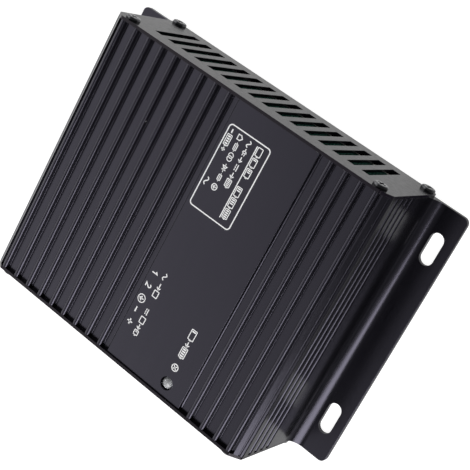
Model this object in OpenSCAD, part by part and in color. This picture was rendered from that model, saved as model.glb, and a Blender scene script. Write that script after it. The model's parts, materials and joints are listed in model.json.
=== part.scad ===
// Battery charger in a finned aluminium housing with two mounting flanges.
// X runs along the extrusion, Y across it and Z up out of the fins.
// The origin is the middle of the base, and all sizes are millimetres.

/* [Housing] */
// Length of the extruded housing
body_l = 110; // [104:1:140]
// Width of the housing from wall to wall
body_w = 130; // [124:1:150]
// Height from the base to the tops of the fins
body_h = 44.4; // [43:0.1:52]
// Thickness of the side walls
wall_t = 3; // [2.4:0.1:3.6]
// Thickness of the floor
floor_t = 2; // [1.6:0.1:2.4]
// Thickness of the roof under the grooves
roof_t = 2; // [1.6:0.1:2.4]
// Bevel along the two top corners
bevel = 3.9; // [3.5:0.1:4.3]

/* [Fins] */
// Height of the fins above the grooves
fin_h = 2; // [1.6:0.1:2.4]
// Width of one fin
fin_w = 2.2; // [1.8:0.1:2.6]
// Rounding on top of the fins
fin_r = 1; // [0.5:0.05:1.05]
// Spacing of the fins on the wide side
fin_pitch = 6.65; // [5.5:0.05:9]
// Spacing of the fins on the narrow side
fin_pitch_narrow = 6.5; // [5.5:0.05:9]
// Hollow rounding at the foot of the fins
foot_r = 0.25; // [0.15:0.05:0.4]
// Least width of a groove beside the plateau
groove_min = 2.5; // [2:0.1:3.5]

/* [Plateau] */
// Width of the plain field that carries the lamp
plateau_w = 37.2; // [34:0.1:46]
// Distance of its middle from the middle of the housing
plateau_y = 16.4; // [14:0.1:18]
// Height of the field above the grooves
plateau_h = 1.25; // [1:0.05:1.6]

/* [Side walls] */
// Radius of the half-round flutes
flute_r = 1.17; // [0.9:0.01:1.3]
// Depth of the first flute below the top
flute_top = 8.5; // [7.5:0.1:9.5]
// Spacing of the flutes
flute_pitch = 4.5; // [4:0.1:5.2]
// Number of flutes in each wall
flute_count = 4; // [3:1:5]
// Radius of the small groove along each bevel
notch_r = 0.45; // [0.3:0.05:0.55]

/* [Mounting flanges] */
// Width of each flange outside the wall
flange_w = 15.8; // [15:0.1:22]
// Thickness of the flanges
flange_t = 2; // [1.6:0.1:2.6]
// Rounding of the flange corners
flange_r = 2.5; // [1.5:0.1:4]
// Hollow rounding between wall and flange
root_r = 3; // [1.5:0.1:3.5]
// Distance between the slots along the housing
slot_span = 77; // [70:0.5:82]
// Distance of the slot middle from the wall
slot_off = 9; // [8.5:0.1:10]
// Length of a mounting slot from end to end
slot_l = 13.2; // [9:0.1:15]
// Width of a mounting slot
slot_w = 5.8; // [4.5:0.1:6.4]

/* [End plates] */
// Thickness of the end plates
plate_t = 1.2; // [1:0.1:1.6]
// Gap between the base and the lower edge of the plates
plate_lift = 0.5; // [0.3:0.05:0.8]
// Setback of the plate edges from the walls
plate_inset = 0.1; // [0.05:0.05:0.2]
// Number of ventilation slots
vent_count = 16; // [12:1:17]
// Spacing of the ventilation slots
vent_pitch = 6.6; // [6:0.1:6.8]
// Width of a ventilation slot
vent_w = 3.55; // [3:0.05:4]
// Height of a ventilation slot
vent_h = 27.9; // [24:0.1:29]
// Height of the lower end of the ventilation slots
vent_z = 7; // [6.5:0.1:8.5]

/* [Screws] */
// Thread diameter of the end plate screws
screw_d = 3; // [2.8:0.05:3.1]
// Length of the end plate screws under the head
screw_l = 9; // [7:0.5:12]
// Head diameter of the end plate screws
head_d = 5.8; // [5.4:0.1:6]
// Head height of the end plate screws
head_h = 1.3; // [1.1:0.1:1.8]
// Distance of the upper screws from the walls
port_top_in = 6.4; // [6.2:0.1:6.8]
// Distance of the upper screws below the top
port_top_down = 4.2; // [4.1:0.1:4.6]
// Distance of the lower screws from the walls
port_low_in = 3.2; // [3.1:0.1:3.6]
// Height of the lower screws
port_low_z = 3.4; // [3.4:0.1:3.8]
// Wall of the screw ports
port_wall = 1.35; // [1.1:0.05:1.5]
// Clearance round a screw in its port
screw_gap = 0.05; // [0.03:0.01:0.1]
// Clearance round a screw in a plate
hole_gap = 0.2; // [0.1:0.05:0.3]

/* [Circuit board] */
// Thickness of the circuit board
board_t = 1.6; // [1.2:0.1:2]
// Height of the underside of the board
board_z = 7.9; // [7.6:0.1:8.6]
// Gap between the board and each end plate
board_end_gap = 0.8; // [0.5:0.1:1]
// Gap between the board and each wall
board_side_gap = 0.3; // [0.2:0.05:0.5]
// Depth of the rails that carry the board
rail_d = 2; // [1.5:0.1:2.5]
// Thickness of the rails
rail_t = 1.2; // [0.8:0.1:1.4]
// Play of the board between its rails
rail_gap = 0.3; // [0.1:0.05:0.4]
// Diameter of the soldered leads
lead_d = 0.9; // [0.7:0.05:1]
// Clearance round a lead in the board
lead_gap = 0.1; // [0.05:0.05:0.2]
// Length of the leads below the board
lead_out = 1.4; // [1:0.1:1.8]
// Room without tall parts at the vented end
clear_in = 8; // [6:0.5:10]

/* [Terminal block] */
// Number of terminals
poles = 5; // [3:1:5]
// Spacing of the terminals
pole_pitch = 7.62; // [7.2:0.02:8]
// Thickness of the barriers
barrier_t = 1.2; // [1:0.1:1.4]
// Height of the block
block_h = 17; // [16:0.5:20]
// Depth of the block
block_l = 14; // [13.5:0.5:16]
// Depth of the bays
bay_l = 8; // [7.5:0.1:8.5]
// Thickness of the block under and over the bays
block_wall = 2; // [1.6:0.1:2.4]
// Gap round the block in its window
window_gap = 0.3; // [0.2:0.05:0.5]
// Thickness of the contacts and clamp plates
contact_t = 0.8; // [0.6:0.1:1]
// Thread diameter of the terminal screws
clamp_screw_d = 3; // [2.6:0.1:3.2]
// Head diameter of the terminal screws
clamp_head_d = 5.4; // [5:0.1:5.6]
// Head height of the terminal screws
clamp_head_h = 1.6; // [1.2:0.1:1.8]

/* [Lamp] */
// Diameter of the lamp
lamp_d = 5; // [4.8:0.1:5.2]
// Distance of the lamp from the terminal end
lamp_in = 5.2; // [5:0.1:7]
// Distance of the lamp from the middle of the housing
lamp_y = 25.9; // [25:0.1:28]
// Clearance round the lamp in the roof
lamp_gap = 0.15; // [0.1:0.05:0.3]
// Height of the lamp's tip above the plateau
lamp_proud = 0.3; // [0:0.1:0.6]
// Length of the lamp
lamp_l = 8.6; // [8:0.1:9]

/* [Power parts] */
// Diameter of the reservoir capacitor
bulk_d = 22; // [18:0.5:24]
// Gap between the reservoir capacitor and the roof
bulk_gap = 2.9; // [2:0.1:6]
// Diameter of the output capacitors
out_cap_d = 12.5; // [10:0.5:13]
// Height of the output capacitors
out_cap_h = 25; // [20:0.5:27]
// Size of the transformer core along the board
core_l = 34; // [32:0.5:36]
// Size of the transformer core across the board
core_w = 34; // [32:0.5:35]
// Thickness of the transformer core
core_t = 10; // [8:0.5:11]
// Outer diameter of the line choke core
choke_d = 22; // [18:0.5:24]
// Outer diameter of the output choke core
coil_d = 27; // [22:0.5:28]
// Length of the heat sinks
sink_l = 18; // [15:0.5:20]
// Height of the heat sinks
sink_h = 26; // [23:0.5:28]
// Gap between the input row and the wall
input_gap = 3.9; // [3:0.1:5]
// Gap between the output row and the wall
output_gap = 4.7; // [4:0.1:6]
// Gap between parts that seat on each other with play
fit_gap = 0.2; // [0.1:0.05:0.25]

/* [Hidden] */
$fn = 48;
over = 0.5;
arc_steps = 6;

// Heights of the housing
roof_z = body_h - fin_h;
plateau_z = roof_z + plateau_h;
ceiling_z = roof_z - roof_t;
// Half widths of the housing
wall_y = body_w / 2;
inner_y = wall_y - wall_t;
flange_y = wall_y + flange_w;
// The bevel lies on the line y + z = bevel_sum
bevel_sum = wall_y + body_h - bevel;
bevel_r = 1;
inner_bevel = bevel - 0.4;
// The outermost fins stand just inside the bevels, with a narrow groove beside them
fin_inset = 0.25;
edge_groove = 1.35;
fin_y = wall_y - bevel - fin_inset - fin_w / 2;
step_y = fin_y + fin_w / 2 + edge_groove;
notch_in = 1.1;
flange_edge_r = 0.3;
plateau_r = 0.25;
plateau_foot_r = 0.5;
plate_r = 1.5;
// Fins fill the room from each bevel to the plateau
plateau_lo = plateau_y - plateau_w / 2;
plateau_hi = plateau_y + plateau_w / 2;
wide_count = floor((plateau_lo - groove_min - fin_w / 2 + fin_y) / fin_pitch) + 1;
narrow_count = floor((fin_y - plateau_hi - groove_min - fin_w / 2) / fin_pitch_narrow) + 1;

// Screw ports, as [y, z] of the side with positive y
port_r = screw_d / 2 + screw_gap;
port_top = [wall_y - port_top_in, body_h - port_top_down];
port_low = [wall_y - port_low_in, port_low_z];
port_mouth = 1.2;

// Board
board_l = body_l - 2 * board_end_gap;
board_w = 2 * (inner_y - board_side_gap);
board_top = board_z + board_t;
hole_d = lead_d + 2 * lead_gap;

// Terminal block
block_x1 = body_l / 2 + plate_t + head_h;
block_x0 = block_x1 - block_l;
block_w = poles * pole_pitch + barrier_t;
block_y = 0;
bay_x = block_x1 - bay_l;
bay_w = pole_pitch - barrier_t;
bay_z0 = board_top + block_wall;
bay_z1 = board_top + block_h - block_wall;
clamp_w = bay_w - 2 * fit_gap;
clamp_rise = 1.5;
clamp_z = (bay_z0 + bay_z1) / 2 + clamp_rise;
clamp_back = 1;
clamp_screw_l = block_l - bay_l - clamp_back;
foot_l = 2.4;

// Lamp
lamp_x = body_l / 2 - lamp_in;
lamp_top = plateau_z + lamp_proud;
lamp_base = lamp_top - lamp_l;
lamp_rim_w = 0.4;
lamp_rim_d = lamp_d + 2 * lamp_rim_w;
lamp_rim_t = 1;
holder_wall = 1.4;
wire_d = 1.1;
wire_pitch = 2.54;
plug_size = [4.6, 5.8, 7.5];

// Rows of parts stand along the board with equal gaps between them
row_x0 = -board_l / 2 + clear_in;
row_end = 2.5;
row_x1 = board_l / 2 - row_end;
function sum_to(v, n) = n <= 0 ? 0 : v[n - 1] + sum_to(v, n - 1);
function row_gap(v) = (row_x1 - row_x0 - sum_to(v, len(v))) / (len(v) - 1);
function row_x(v, i) = row_x0 + sum_to(v, i) + i * row_gap(v) + v[i] / 2;

bulk_h = ceiling_z - board_top - bulk_gap;
choke_wrap = 1.5;
choke_turns_from = 20;
choke_turns_over = 140;
choke_t = 9;
coil_wrap = 1.3;
coil_turns_over = 320;
coil_t = 12;
film_size = [10, 26, 19];
fuse_d = 5.2;
fuse_l = 20;
clip_w = 6.4;
input_row = [sink_l, bulk_d, choke_d + 2 * choke_wrap, film_size.x, clip_w];
output_row = [sink_l, coil_d + 2 * coil_wrap, out_cap_d, out_cap_d, out_cap_d];
input_y = input_gap + film_size.y / 2 - inner_y;
output_y = inner_y - output_gap - out_cap_d / 2;
coil_y = output_y - coil_d / 2 - coil_wrap;

// Heat sinks stand at the vented end of both rows, with their fins to the walls
sink_base = 2.4;
sink_d = 12;
sink_wall_gap = 6;
sink_fins = 5;
sink_fin_t = 1.3;
sink_foot_in = 3;
sink_x = row_x(input_row, 0);
sink_in_y = inner_y - sink_wall_gap - sink_d;
tab_t = 1.3;
device_size = [10, 4.4, 9.2];
device_lift = 5;
device_z = board_top + device_lift;
device_pitch = 2.54;
device_lead_y = sink_in_y - tab_t - device_size.y / 2 + tab_t / 2;
tab_h = 6.4;
tab_hole_up = 3.4;
tab_hole_z = device_z + device_size.z + tab_hole_up;
tab_screw_d = 3;
tab_screw_l = 5;
tab_screw_end = 1;
tab_head_d = 5.4;
tab_head_h = 1.8;

// Transformer
middle_y = -6;
bobbin_end = 5.8;
core_back = 5;
core_leg = 10;
side_leg = 5;
core_split = 0.02;
bobbin_wall = 1;
bobbin_lip = 0.9;
bobbin_foot = 1;
bobbin_pitch = 5;
flange_h = 23;
winding_r = 3;
coil_mid_z = board_top + bobbin_foot + flange_h / 2;
core_room = core_l - 2 * core_back;
window_w = core_w - 2 * side_leg;
core_in = 4;
core_x = row_x0 + core_l / 2 + core_in;

// An arc about (y, z) with radius r, from angle a to angle b
function arc(y, z, r, a, b, n = arc_steps) =
    [for (i = [0:n]) [y + r * cos(a + (b - a) * i / n), z + r * sin(a + (b - a) * i / n)]];

// The corner b between a and c, rounded with radius r
function unit(v) = v / norm(v);
function bend(a, b, c, r) =
    let (
        u = unit(a - b), v = unit(c - b), half = acos(u * v) / 2, m = b + unit(u + v) * r / sin(half),
        p = b + u * r / tan(half) - m, q = b + v * r / tan(half) - m,
        start = atan2(p.y, p.x), turn = atan2(p.x * q.y - p.y * q.x, p * q)
    )
    arc(m.x, m.y, r, start, start + turn);

// An outline with each corner rounded by its own radius, where 0 leaves it sharp
function softened(points, radii) =
    let (n = len(points))
    [for (i = [0:n - 1]) each radii[i] > 0
        ? bend(points[(i + n - 1) % n], points[i], points[(i + 1) % n], radii[i])
        : [points[i]]];

// Turns a flat section in y and z into a bar along x
module along_x(x0, x1) {
    translate([x0, 0, 0])
        rotate([90, 0, 90])
            linear_extrude(x1 - x0)
                children();
}

module both_sides() {
    children();
    mirror([1, 0])
        children();
}

// One rib of the roof in section: rounded shoulders and hollow feet
module rib_section(y, w, top, r, foot) {
    base = roof_z - over;
    translate([y, 0]) {
        translate([-w / 2, base])
            square([w, top - r - base]);
        translate([r - w / 2, base])
            square([w - 2 * r, top - base]);
        both_sides() {
            translate([w / 2 - r, top - r])
                circle(r);
            difference() {
                translate([w / 2 - over, base])
                    square([over + foot, roof_z + foot - base]);
                translate([w / 2 + foot, roof_z + foot])
                    circle(foot);
            }
        }
    }
}

// The body in section without its fins: floor, walls and roof as one block with bevelled corners
module block_section() {
    right = [[wall_y, 0], [wall_y, bevel_sum - wall_y], [step_y, bevel_sum - step_y], [step_y, roof_z]];
    left = [for (i = [3:-1:0]) [-right[i].x, right[i].y]];
    polygon(softened(concat(right, left), [0, bevel_r, 0, 0, 0, 0, bevel_r, 0]));
}

// One flange in section, with its hollow root and rounded edge
module flange_section() {
    difference() {
        union() {
            translate([wall_y - over, 0])
                square([flange_w - flange_edge_r + over, flange_t]);
            translate([wall_y - over, 0])
                square([flange_w + over, flange_t - flange_edge_r]);
            translate([flange_y - flange_edge_r, flange_t - flange_edge_r])
                circle(flange_edge_r);
            translate([wall_y - over, 0])
                square([root_r + over, flange_t + root_r]);
        }
        translate([wall_y + root_r, flange_t + root_r])
            circle(root_r);
    }
}

// The cuts in one wall: half-round flutes and the small groove along the bevel
module wall_cuts() {
    for (i = [0:flute_count - 1])
        translate([wall_y, body_h - flute_top - i * flute_pitch])
            circle(flute_r);
    translate([wall_y - notch_in, bevel_sum - wall_y + notch_in])
        circle(notch_r);
}

// Housing
module cavity_section() {
    difference() {
        polygon([
            [-inner_y, floor_t], [inner_y, floor_t], [inner_y, ceiling_z - inner_bevel],
            [inner_y - inner_bevel, ceiling_z], [inner_bevel - inner_y, ceiling_z],
            [-inner_y, ceiling_z - inner_bevel]
        ]);
        both_sides() {
            translate([inner_y - rail_d, board_z - rail_t])
                square([rail_d + over, rail_t]);
            translate([inner_y - rail_d, board_top + rail_gap])
                square([rail_d + over, rail_t]);
            translate(port_top)
                circle(port_r + port_wall);
            translate(port_low)
                circle(port_r + port_wall);
        }
    }
}

module port_section() {
    circle(port_r);
    translate([0, -port_mouth / 2])
        square([port_r + port_wall + over, port_mouth]);
}

module housing_section() {
    difference() {
        union() {
            block_section();
            both_sides()
                flange_section();
            rib_section(plateau_y, plateau_w, plateau_z, plateau_r, plateau_foot_r);
            for (i = [0:wide_count - 1])
                rib_section(i * fin_pitch - fin_y, fin_w, body_h, fin_r, foot_r);
            for (i = [0:narrow_count - 1])
                rib_section(fin_y - i * fin_pitch_narrow, fin_w, body_h, fin_r, foot_r);
        }
        cavity_section();
        both_sides() {
            wall_cuts();
            translate(port_top)
                rotate(-90)
                    port_section();
            translate(port_low)
                rotate(135)
                    port_section();
        }
    }
}

module mounting_slot() {
    for (x = [-1, 1])
        translate([x * (slot_l - slot_w) / 2, 0, -over])
            cylinder(d = slot_w, h = flange_t + 2 * over);
    translate([-(slot_l - slot_w) / 2, -slot_w / 2, -over])
        cube([slot_l - slot_w, slot_w, flange_t + 2 * over]);
}

module flange_corner() {
    difference() {
        translate([-flange_r, -flange_r, -over])
            cube([flange_r + over, flange_r + over, flange_t + 2 * over]);
        translate([-flange_r, -flange_r, -2 * over])
            cylinder(r = flange_r, h = flange_t + 4 * over);
    }
}

module housing() {
    color([0.09, 0.09, 0.1])
        difference() {
            along_x(-body_l / 2, body_l / 2)
                housing_section();
            for (x = [-1, 1], y = [-1, 1])
                translate([x * slot_span / 2, y * (wall_y + slot_off), 0])
                    mounting_slot();
            for (a = [0, 1], b = [0, 1])
                mirror([a, 0, 0])
                    mirror([0, b, 0])
                        translate([body_l / 2, flange_y, 0])
                            flange_corner();
            translate([lamp_x, lamp_y, ceiling_z - over])
                cylinder(d = lamp_d + 2 * lamp_gap, h = body_h - ceiling_z + 2 * over);
        }
}

// End plates
module plate_section() {
    edge = wall_y - plate_inset;
    shoulder = body_h - bevel + plate_inset;
    right = [[edge, plate_lift], [edge, shoulder], [edge - bevel + plate_inset, body_h]];
    left = [for (i = [2:-1:0]) [-right[i].x, right[i].y]];
    difference() {
        polygon(softened(concat(right, left), [plate_r, plate_r, plate_r, plate_r, plate_r, plate_r]));
        both_sides() {
            translate(port_top)
                circle(screw_d / 2 + hole_gap);
            translate(port_low)
                circle(screw_d / 2 + hole_gap);
        }
    }
}

module vent_plate() {
    color([0.2, 0.2, 0.21])
        along_x(-body_l / 2 - plate_t, -body_l / 2)
            difference() {
                plate_section();
                for (i = [0:vent_count - 1])
                    translate([(i - (vent_count - 1) / 2) * vent_pitch - vent_w / 2, vent_z])
                        square([vent_w, vent_h]);
            }
}

module terminal_plate() {
    color([0.2, 0.2, 0.21])
        along_x(body_l / 2, body_l / 2 + plate_t)
            difference() {
                plate_section();
                translate([block_y - block_w / 2 - window_gap, board_top - window_gap])
                    square([block_w + 2 * window_gap, block_h + 2 * window_gap]);
            }
}

// A pan head screw along z: its head stands on z = 0, and its shank hangs below
module pan_screw(d, l, hd, hh) {
    edge_r = hh * 0.6;
    slot_t = hd * 0.17;
    slot_reach = hd * 0.58;
    shoulder = arc(hd / 2 - edge_r, hh - edge_r, edge_r, 0, 90);
    difference() {
        union() {
            rotate_extrude()
                polygon(concat([[0, 0], [hd / 2, 0]], shoulder, [[0, hh]]));
            translate([0, 0, -l])
                cylinder(d = d, h = l + hh / 2);
        }
        for (a = [0, 90])
            rotate(a)
                translate([-slot_reach / 2, -slot_t / 2, hh * 0.5])
                    cube([slot_reach, slot_t, hh]);
    }
}

module plate_screws(side) {
    color([0.13, 0.13, 0.14])
        for (p = [port_top, port_low], y = [-1, 1])
            translate([side * (body_l / 2 + plate_t), y * p.x, p.y])
                rotate([0, side * 90, 0])
                    pan_screw(screw_d, screw_l, head_d, head_h);
}

// Leads through the board, as a list of [x, y] places
module leads(places, top) {
    for (p = places)
        translate([p.x, p.y, board_z - lead_out])
            cylinder(d = lead_d, h = top - board_z + lead_out, $fn = 16);
}

pole_y = [for (i = [0:poles - 1]) block_y + (i - (poles - 1) / 2) * pole_pitch];
foot_x = bay_x + foot_l / 2 + contact_t / 2;
terminal_leads = [for (y = pole_y) [foot_x, y]];

plug_leads = [for (s = [-1, 1]) [lamp_x, lamp_y + s * wire_pitch / 2]];

fuse_x = row_x(input_row, 4);
clip_in = 2.6;
clip_lift = 1.4;
clip_pitch = 3.6;
clip_y = fuse_l / 2 - clip_in;
fuse_z = board_top + clip_lift + fuse_d / 2;
fuse_leads = [for (s = [-1, 1], t = [-1, 1]) [fuse_x + t * clip_pitch / 2, input_y + s * clip_y]];

film_x = row_x(input_row, 3);
film_pitch = 22.5;
film_leads = [for (s = [-1, 1]) [film_x, input_y + s * film_pitch / 2]];

absorber_d = 14;
absorber_t = 4.4;
absorber_gap = 2;
absorber_pitch = 7.5;
absorber_x = film_x;
absorber_y = input_y + film_size.y / 2 + absorber_gap + absorber_d / 2;
absorber_leads = [for (s = [-1, 1]) [absorber_x + s * lead_d, absorber_y + s * absorber_pitch / 2]];

choke_x = row_x(input_row, 2);
ring_lead_in = 3.5;
choke_reach = choke_d / 2 - ring_lead_in;
choke_leads = [for (s = [-1, 1], t = [-1, 1]) [choke_x + s * choke_reach, input_y + t * choke_reach]];

bulk_x = row_x(input_row, 1);
bulk_pitch = 10;
bulk_leads = [for (s = [-1, 1]) [bulk_x, input_y + s * bulk_pitch / 2]];

bridge_size = [22, 3.6, 17];
bridge_gap = 4;
bridge_lift = 2;
bridge_pitch = 5.08;
bridge_x = core_x + core_l / 2 + bridge_gap + bridge_size.x / 2;
bridge_y = middle_y - core_w / 2 + bridge_size.y / 2;
bridge_leads = [for (i = [0:3]) [bridge_x + (i - 1.5) * bridge_pitch, bridge_y]];

bobbin_pin_x = core_room / 2 + bobbin_end / 2;
bobbin_leads = [for (s = [-1, 1], i = [-2:2]) [core_x + s * bobbin_pin_x, middle_y + i * bobbin_pitch]];

coil_x = row_x(output_row, 1);
coil_leads = [for (s = [-1, 1]) [coil_x, coil_y + s * (coil_d / 2 - ring_lead_in)]];

out_cap_pitch = 5;
out_cap_x = [for (i = [2:4]) row_x(output_row, i)];
out_cap_leads = [for (x = out_cap_x, s = [-1, 1]) [x, output_y + s * out_cap_pitch / 2]];

shunt_size = [18, 6.4, 6.4];
shunt_gap = 3;
shunt_pitch = 12;
shunt_x = coil_x + coil_d / 2 + coil_wrap + shunt_gap + shunt_size.x / 2;
shunt_y = coil_y - shunt_size.y;
shunt_leads = [for (s = [-1, 1]) [shunt_x + s * shunt_pitch / 2, shunt_y]];

device_leads = [for (s = [-1, 1], i = [-1:1]) [sink_x + i * device_pitch, s * device_lead_y]];
sink_foot_x = sink_l / 2 - sink_foot_in;
sink_leads = [for (s = [-1, 1], t = [-1, 1]) [sink_x + t * sink_foot_x, s * (sink_in_y + sink_base / 2)]];

safety_d = 8;
safety_t = 4;
safety_gap = 3;
safety_pitch = 5;
safety_x = film_x;
safety_y = [for (i = [0, 1]) middle_y + (i + 0.5) * (safety_d + safety_gap)];
safety_leads = [for (y = safety_y, s = [-1, 1]) [safety_x, y + s * safety_pitch / 2]];

all_leads = concat(
    terminal_leads, plug_leads, fuse_leads, film_leads, absorber_leads, choke_leads, bulk_leads,
    bridge_leads, bobbin_leads, coil_leads, out_cap_leads, shunt_leads, device_leads, sink_leads,
    safety_leads
);

module circuit_board() {
    color([0.05, 0.3, 0.2])
        difference() {
            translate([-board_l / 2, -board_w / 2, board_z])
                cube([board_l, board_w, board_t]);
            for (p = all_leads)
                translate([p.x, p.y, board_z - over])
                    cylinder(d = hole_d, h = board_t + 2 * over, $fn = 16);
        }
}

// Terminal block: a moulded body with bays between barriers, open to the outside
module terminal_body() {
    color([0.1, 0.1, 0.1])
        difference() {
            translate([block_x0, block_y - block_w / 2, board_top])
                cube([block_l, block_w, block_h]);
            for (y = pole_y) {
                translate([bay_x, y - bay_w / 2, bay_z0])
                    cube([bay_l + over, bay_w, bay_z1 - bay_z0]);
                translate([bay_x - clamp_screw_l - fit_gap, y, clamp_z])
                    rotate([0, 90, 0])
                        cylinder(d = clamp_screw_d + 2 * fit_gap, h = clamp_screw_l + fit_gap + over);
                translate([foot_x, y, board_top - over])
                    cylinder(d = hole_d, h = block_wall + 2 * over, $fn = 16);
            }
        }
}

// One contact: a plate at the back of the bay, a foot on its floor and a lead through the board
module terminal_contacts() {
    color([0.8, 0.7, 0.4])
        for (i = [0:poles - 1]) {
            difference() {
                union() {
                    translate([bay_x, pole_y[i] - clamp_w / 2, bay_z0])
                        cube([contact_t, clamp_w, bay_z1 - bay_z0 - fit_gap]);
                    translate([bay_x, pole_y[i] - clamp_w / 2, bay_z0])
                        cube([contact_t + foot_l, clamp_w, contact_t]);
                    leads([terminal_leads[i]], bay_z0 + contact_t / 2);
                }
                translate([bay_x - over, pole_y[i], clamp_z])
                    rotate([0, 90, 0])
                        cylinder(d = clamp_screw_d + 2 * fit_gap, h = contact_t + 2 * over);
            }
        }
}

// Square clamp plates, with their edges turned out to hold a wire
module terminal_clamps() {
    color([0.75, 0.76, 0.78])
        for (y = pole_y)
            difference() {
                translate([bay_x + contact_t, y - clamp_w / 2, clamp_z - clamp_w / 2])
                    cube([contact_t, clamp_w, clamp_w]);
                translate([bay_x + contact_t - over, y, clamp_z])
                    rotate([0, 90, 0])
                        cylinder(d = clamp_screw_d + 2 * fit_gap, h = contact_t + 2 * over);
            }
}

module terminal_screws() {
    color([0.75, 0.76, 0.78])
        for (y = pole_y)
            translate([bay_x + 2 * contact_t, y, clamp_z])
                rotate([0, 90, 0])
                    pan_screw(clamp_screw_d, 2 * contact_t + clamp_screw_l, clamp_head_d, clamp_head_h);
}

// Lamp: a rim, a round body and a domed tip
module lamp() {
    color([0.8, 0.82, 0.84])
        translate([lamp_x, lamp_y, lamp_base])
            rotate_extrude()
                polygon(concat(
                    [[0, 0], [lamp_rim_d / 2, 0], [lamp_rim_d / 2, lamp_rim_t], [lamp_d / 2, lamp_rim_t]],
                    arc(0, lamp_l - lamp_d / 2, lamp_d / 2, 0, 90, 8)
                ));
}

// A collar under the roof that the lamp's rim seats against
module lamp_holder() {
    color([0.08, 0.08, 0.08])
        translate([lamp_x, lamp_y, lamp_base + lamp_rim_t])
            difference() {
                cylinder(d = lamp_d + 2 * holder_wall + fit_gap, h = ceiling_z - lamp_base - lamp_rim_t);
                translate([0, 0, -over])
                    cylinder(d = lamp_d + fit_gap, h = ceiling_z - lamp_base - lamp_rim_t + 2 * over);
            }
}

module lamp_wires() {
    color([0.7, 0.1, 0.1])
        for (p = plug_leads)
            translate([p.x, p.y, board_top + plug_size.z])
                cylinder(d = wire_d, h = lamp_base - board_top - plug_size.z, $fn = 16);
}

module lamp_plug() {
    color([0.9, 0.9, 0.86]) {
        translate([lamp_x - plug_size.x / 2, lamp_y - plug_size.y / 2, board_top])
            cube(plug_size);
        leads(plug_leads, board_top + 1);
    }
}

// Fuse: a glass tube between two metal caps, sealed
module fuse() {
    color([0.85, 0.88, 0.88])
        translate([fuse_x, input_y, fuse_z])
            rotate([90, 0, 0]) {
                cylinder(d = fuse_d - 0.5, h = fuse_l - 2, center = true);
                for (s = [-1, 1])
                    translate([0, 0, s * (fuse_l - 5) / 2])
                        cylinder(d = fuse_d, h = 5, center = true);
            }
}

// Spring clips: a base strip with two cheeks that follow the fuse cap
module fuse_clips() {
    cheek_t = 0.5;
    clip_l = 4.4;
    color([0.78, 0.72, 0.5])
        for (s = [-1, 1])
            translate([fuse_x, input_y + s * clip_y, 0]) {
                difference() {
                    translate([-clip_w / 2, -clip_l / 2, board_top])
                        cube([clip_w, clip_l, fuse_z - board_top + fuse_d / 4]);
                    translate([0, -clip_l / 2 - over, fuse_z])
                        rotate([-90, 0, 0])
                            cylinder(d = fuse_d + 0.1, h = clip_l + 2 * over);
                    translate([-fuse_d / 2 + cheek_t, -clip_l / 2 - over, board_top + cheek_t])
                        cube([fuse_d - 2 * cheek_t, clip_l + 2 * over, fuse_z - board_top]);
                }
                leads([for (t = [-1, 1]) [t * clip_pitch / 2, 0]], board_top + cheek_t / 2);
            }
}

// A standing disc on two leads, as a surge absorber or a small capacitor
module standing_disc(d, t, p, places) {
    translate([p.x, p.y, board_top + d / 2 + 0.6])
        rotate([0, 90, 0])
            rotate_extrude()
                polygon(concat([[0, -t / 2]], arc(d / 2 - t / 3, -t / 6, t / 3, -90, 0, 4),
                    arc(d / 2 - t / 3, t / 6, t / 3, 0, 90, 4), [[0, t / 2]]));
    leads(places, board_top + d * 0.35);
}

module surge_absorber() {
    color([0.1, 0.25, 0.6])
        standing_disc(absorber_d, absorber_t, [absorber_x, absorber_y], absorber_leads);
}

module interference_capacitors() {
    color([0.15, 0.35, 0.7])
        for (i = [0, 1]) {
            own_leads = [for (j = [0, 1]) safety_leads[2 * i + j]];
            standing_disc(safety_d, safety_t, [safety_x, safety_y[i]], own_leads);
        }
}

module line_capacitor() {
    color([0.85, 0.75, 0.2]) {
        translate([film_x - film_size.x / 2, input_y - film_size.y / 2, board_top])
            cube(film_size);
        leads(film_leads, board_top + 1);
    }
}

// A ring core lying flat, z0 above the board
module ring_core(d, t, z0) {
    translate([0, 0, board_top + z0])
        difference() {
            cylinder(d = d, h = t);
            translate([0, 0, -over])
                cylinder(d = d * 0.55, h = t + 2 * over);
        }
}

// A winding wrapped round part of a ring core, from angle a through angle span
module ring_winding(d, t, wrap, a, span) {
    inner = d * 0.55 / 2;
    outer = d / 2;
    play = fit_gap / 2;
    rotate(a)
        translate([0, 0, board_top])
            rotate_extrude(angle = span)
                difference() {
                    translate([inner - wrap, 0])
                        square([outer - inner + 2 * wrap, t + 2 * wrap]);
                    translate([inner - play, wrap - play])
                        square([outer - inner + 2 * play, t + 2 * play]);
                }
}

module line_choke_core() {
    color([0.15, 0.25, 0.15])
        translate([choke_x, input_y, 0])
            ring_core(choke_d, choke_t, choke_wrap);
}

module line_choke_windings() {
    color([0.7, 0.35, 0.15])
        for (s = [0, 1])
            translate([choke_x, input_y, 0]) {
                ring_winding(choke_d, choke_t, choke_wrap, choke_turns_from + 180 * s, choke_turns_over);
                leads([for (t = [-1, 1]) [t * choke_reach, (1 - 2 * s) * choke_reach]],
                    board_top + choke_wrap / 2);
            }
}

module output_choke_core() {
    color([0.85, 0.75, 0.2])
        translate([coil_x, coil_y, 0])
            ring_core(coil_d, coil_t, coil_wrap);
}

module output_choke_winding() {
    color([0.7, 0.35, 0.15])
        translate([coil_x, coil_y, 0]) {
            ring_winding(coil_d, coil_t, coil_wrap, -coil_turns_over / 2, coil_turns_over);
            leads([for (s = [-1, 1]) [0, s * (coil_d / 2 - ring_lead_in)]], board_top + coil_wrap / 2);
        }
}

module bridge_rectifier() {
    color([0.08, 0.08, 0.08]) {
        translate([bridge_x - bridge_size.x / 2, bridge_y - bridge_size.y / 2, board_top + bridge_lift])
            cube(bridge_size);
        leads(bridge_leads, board_top + bridge_lift + 1);
    }
}

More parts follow.
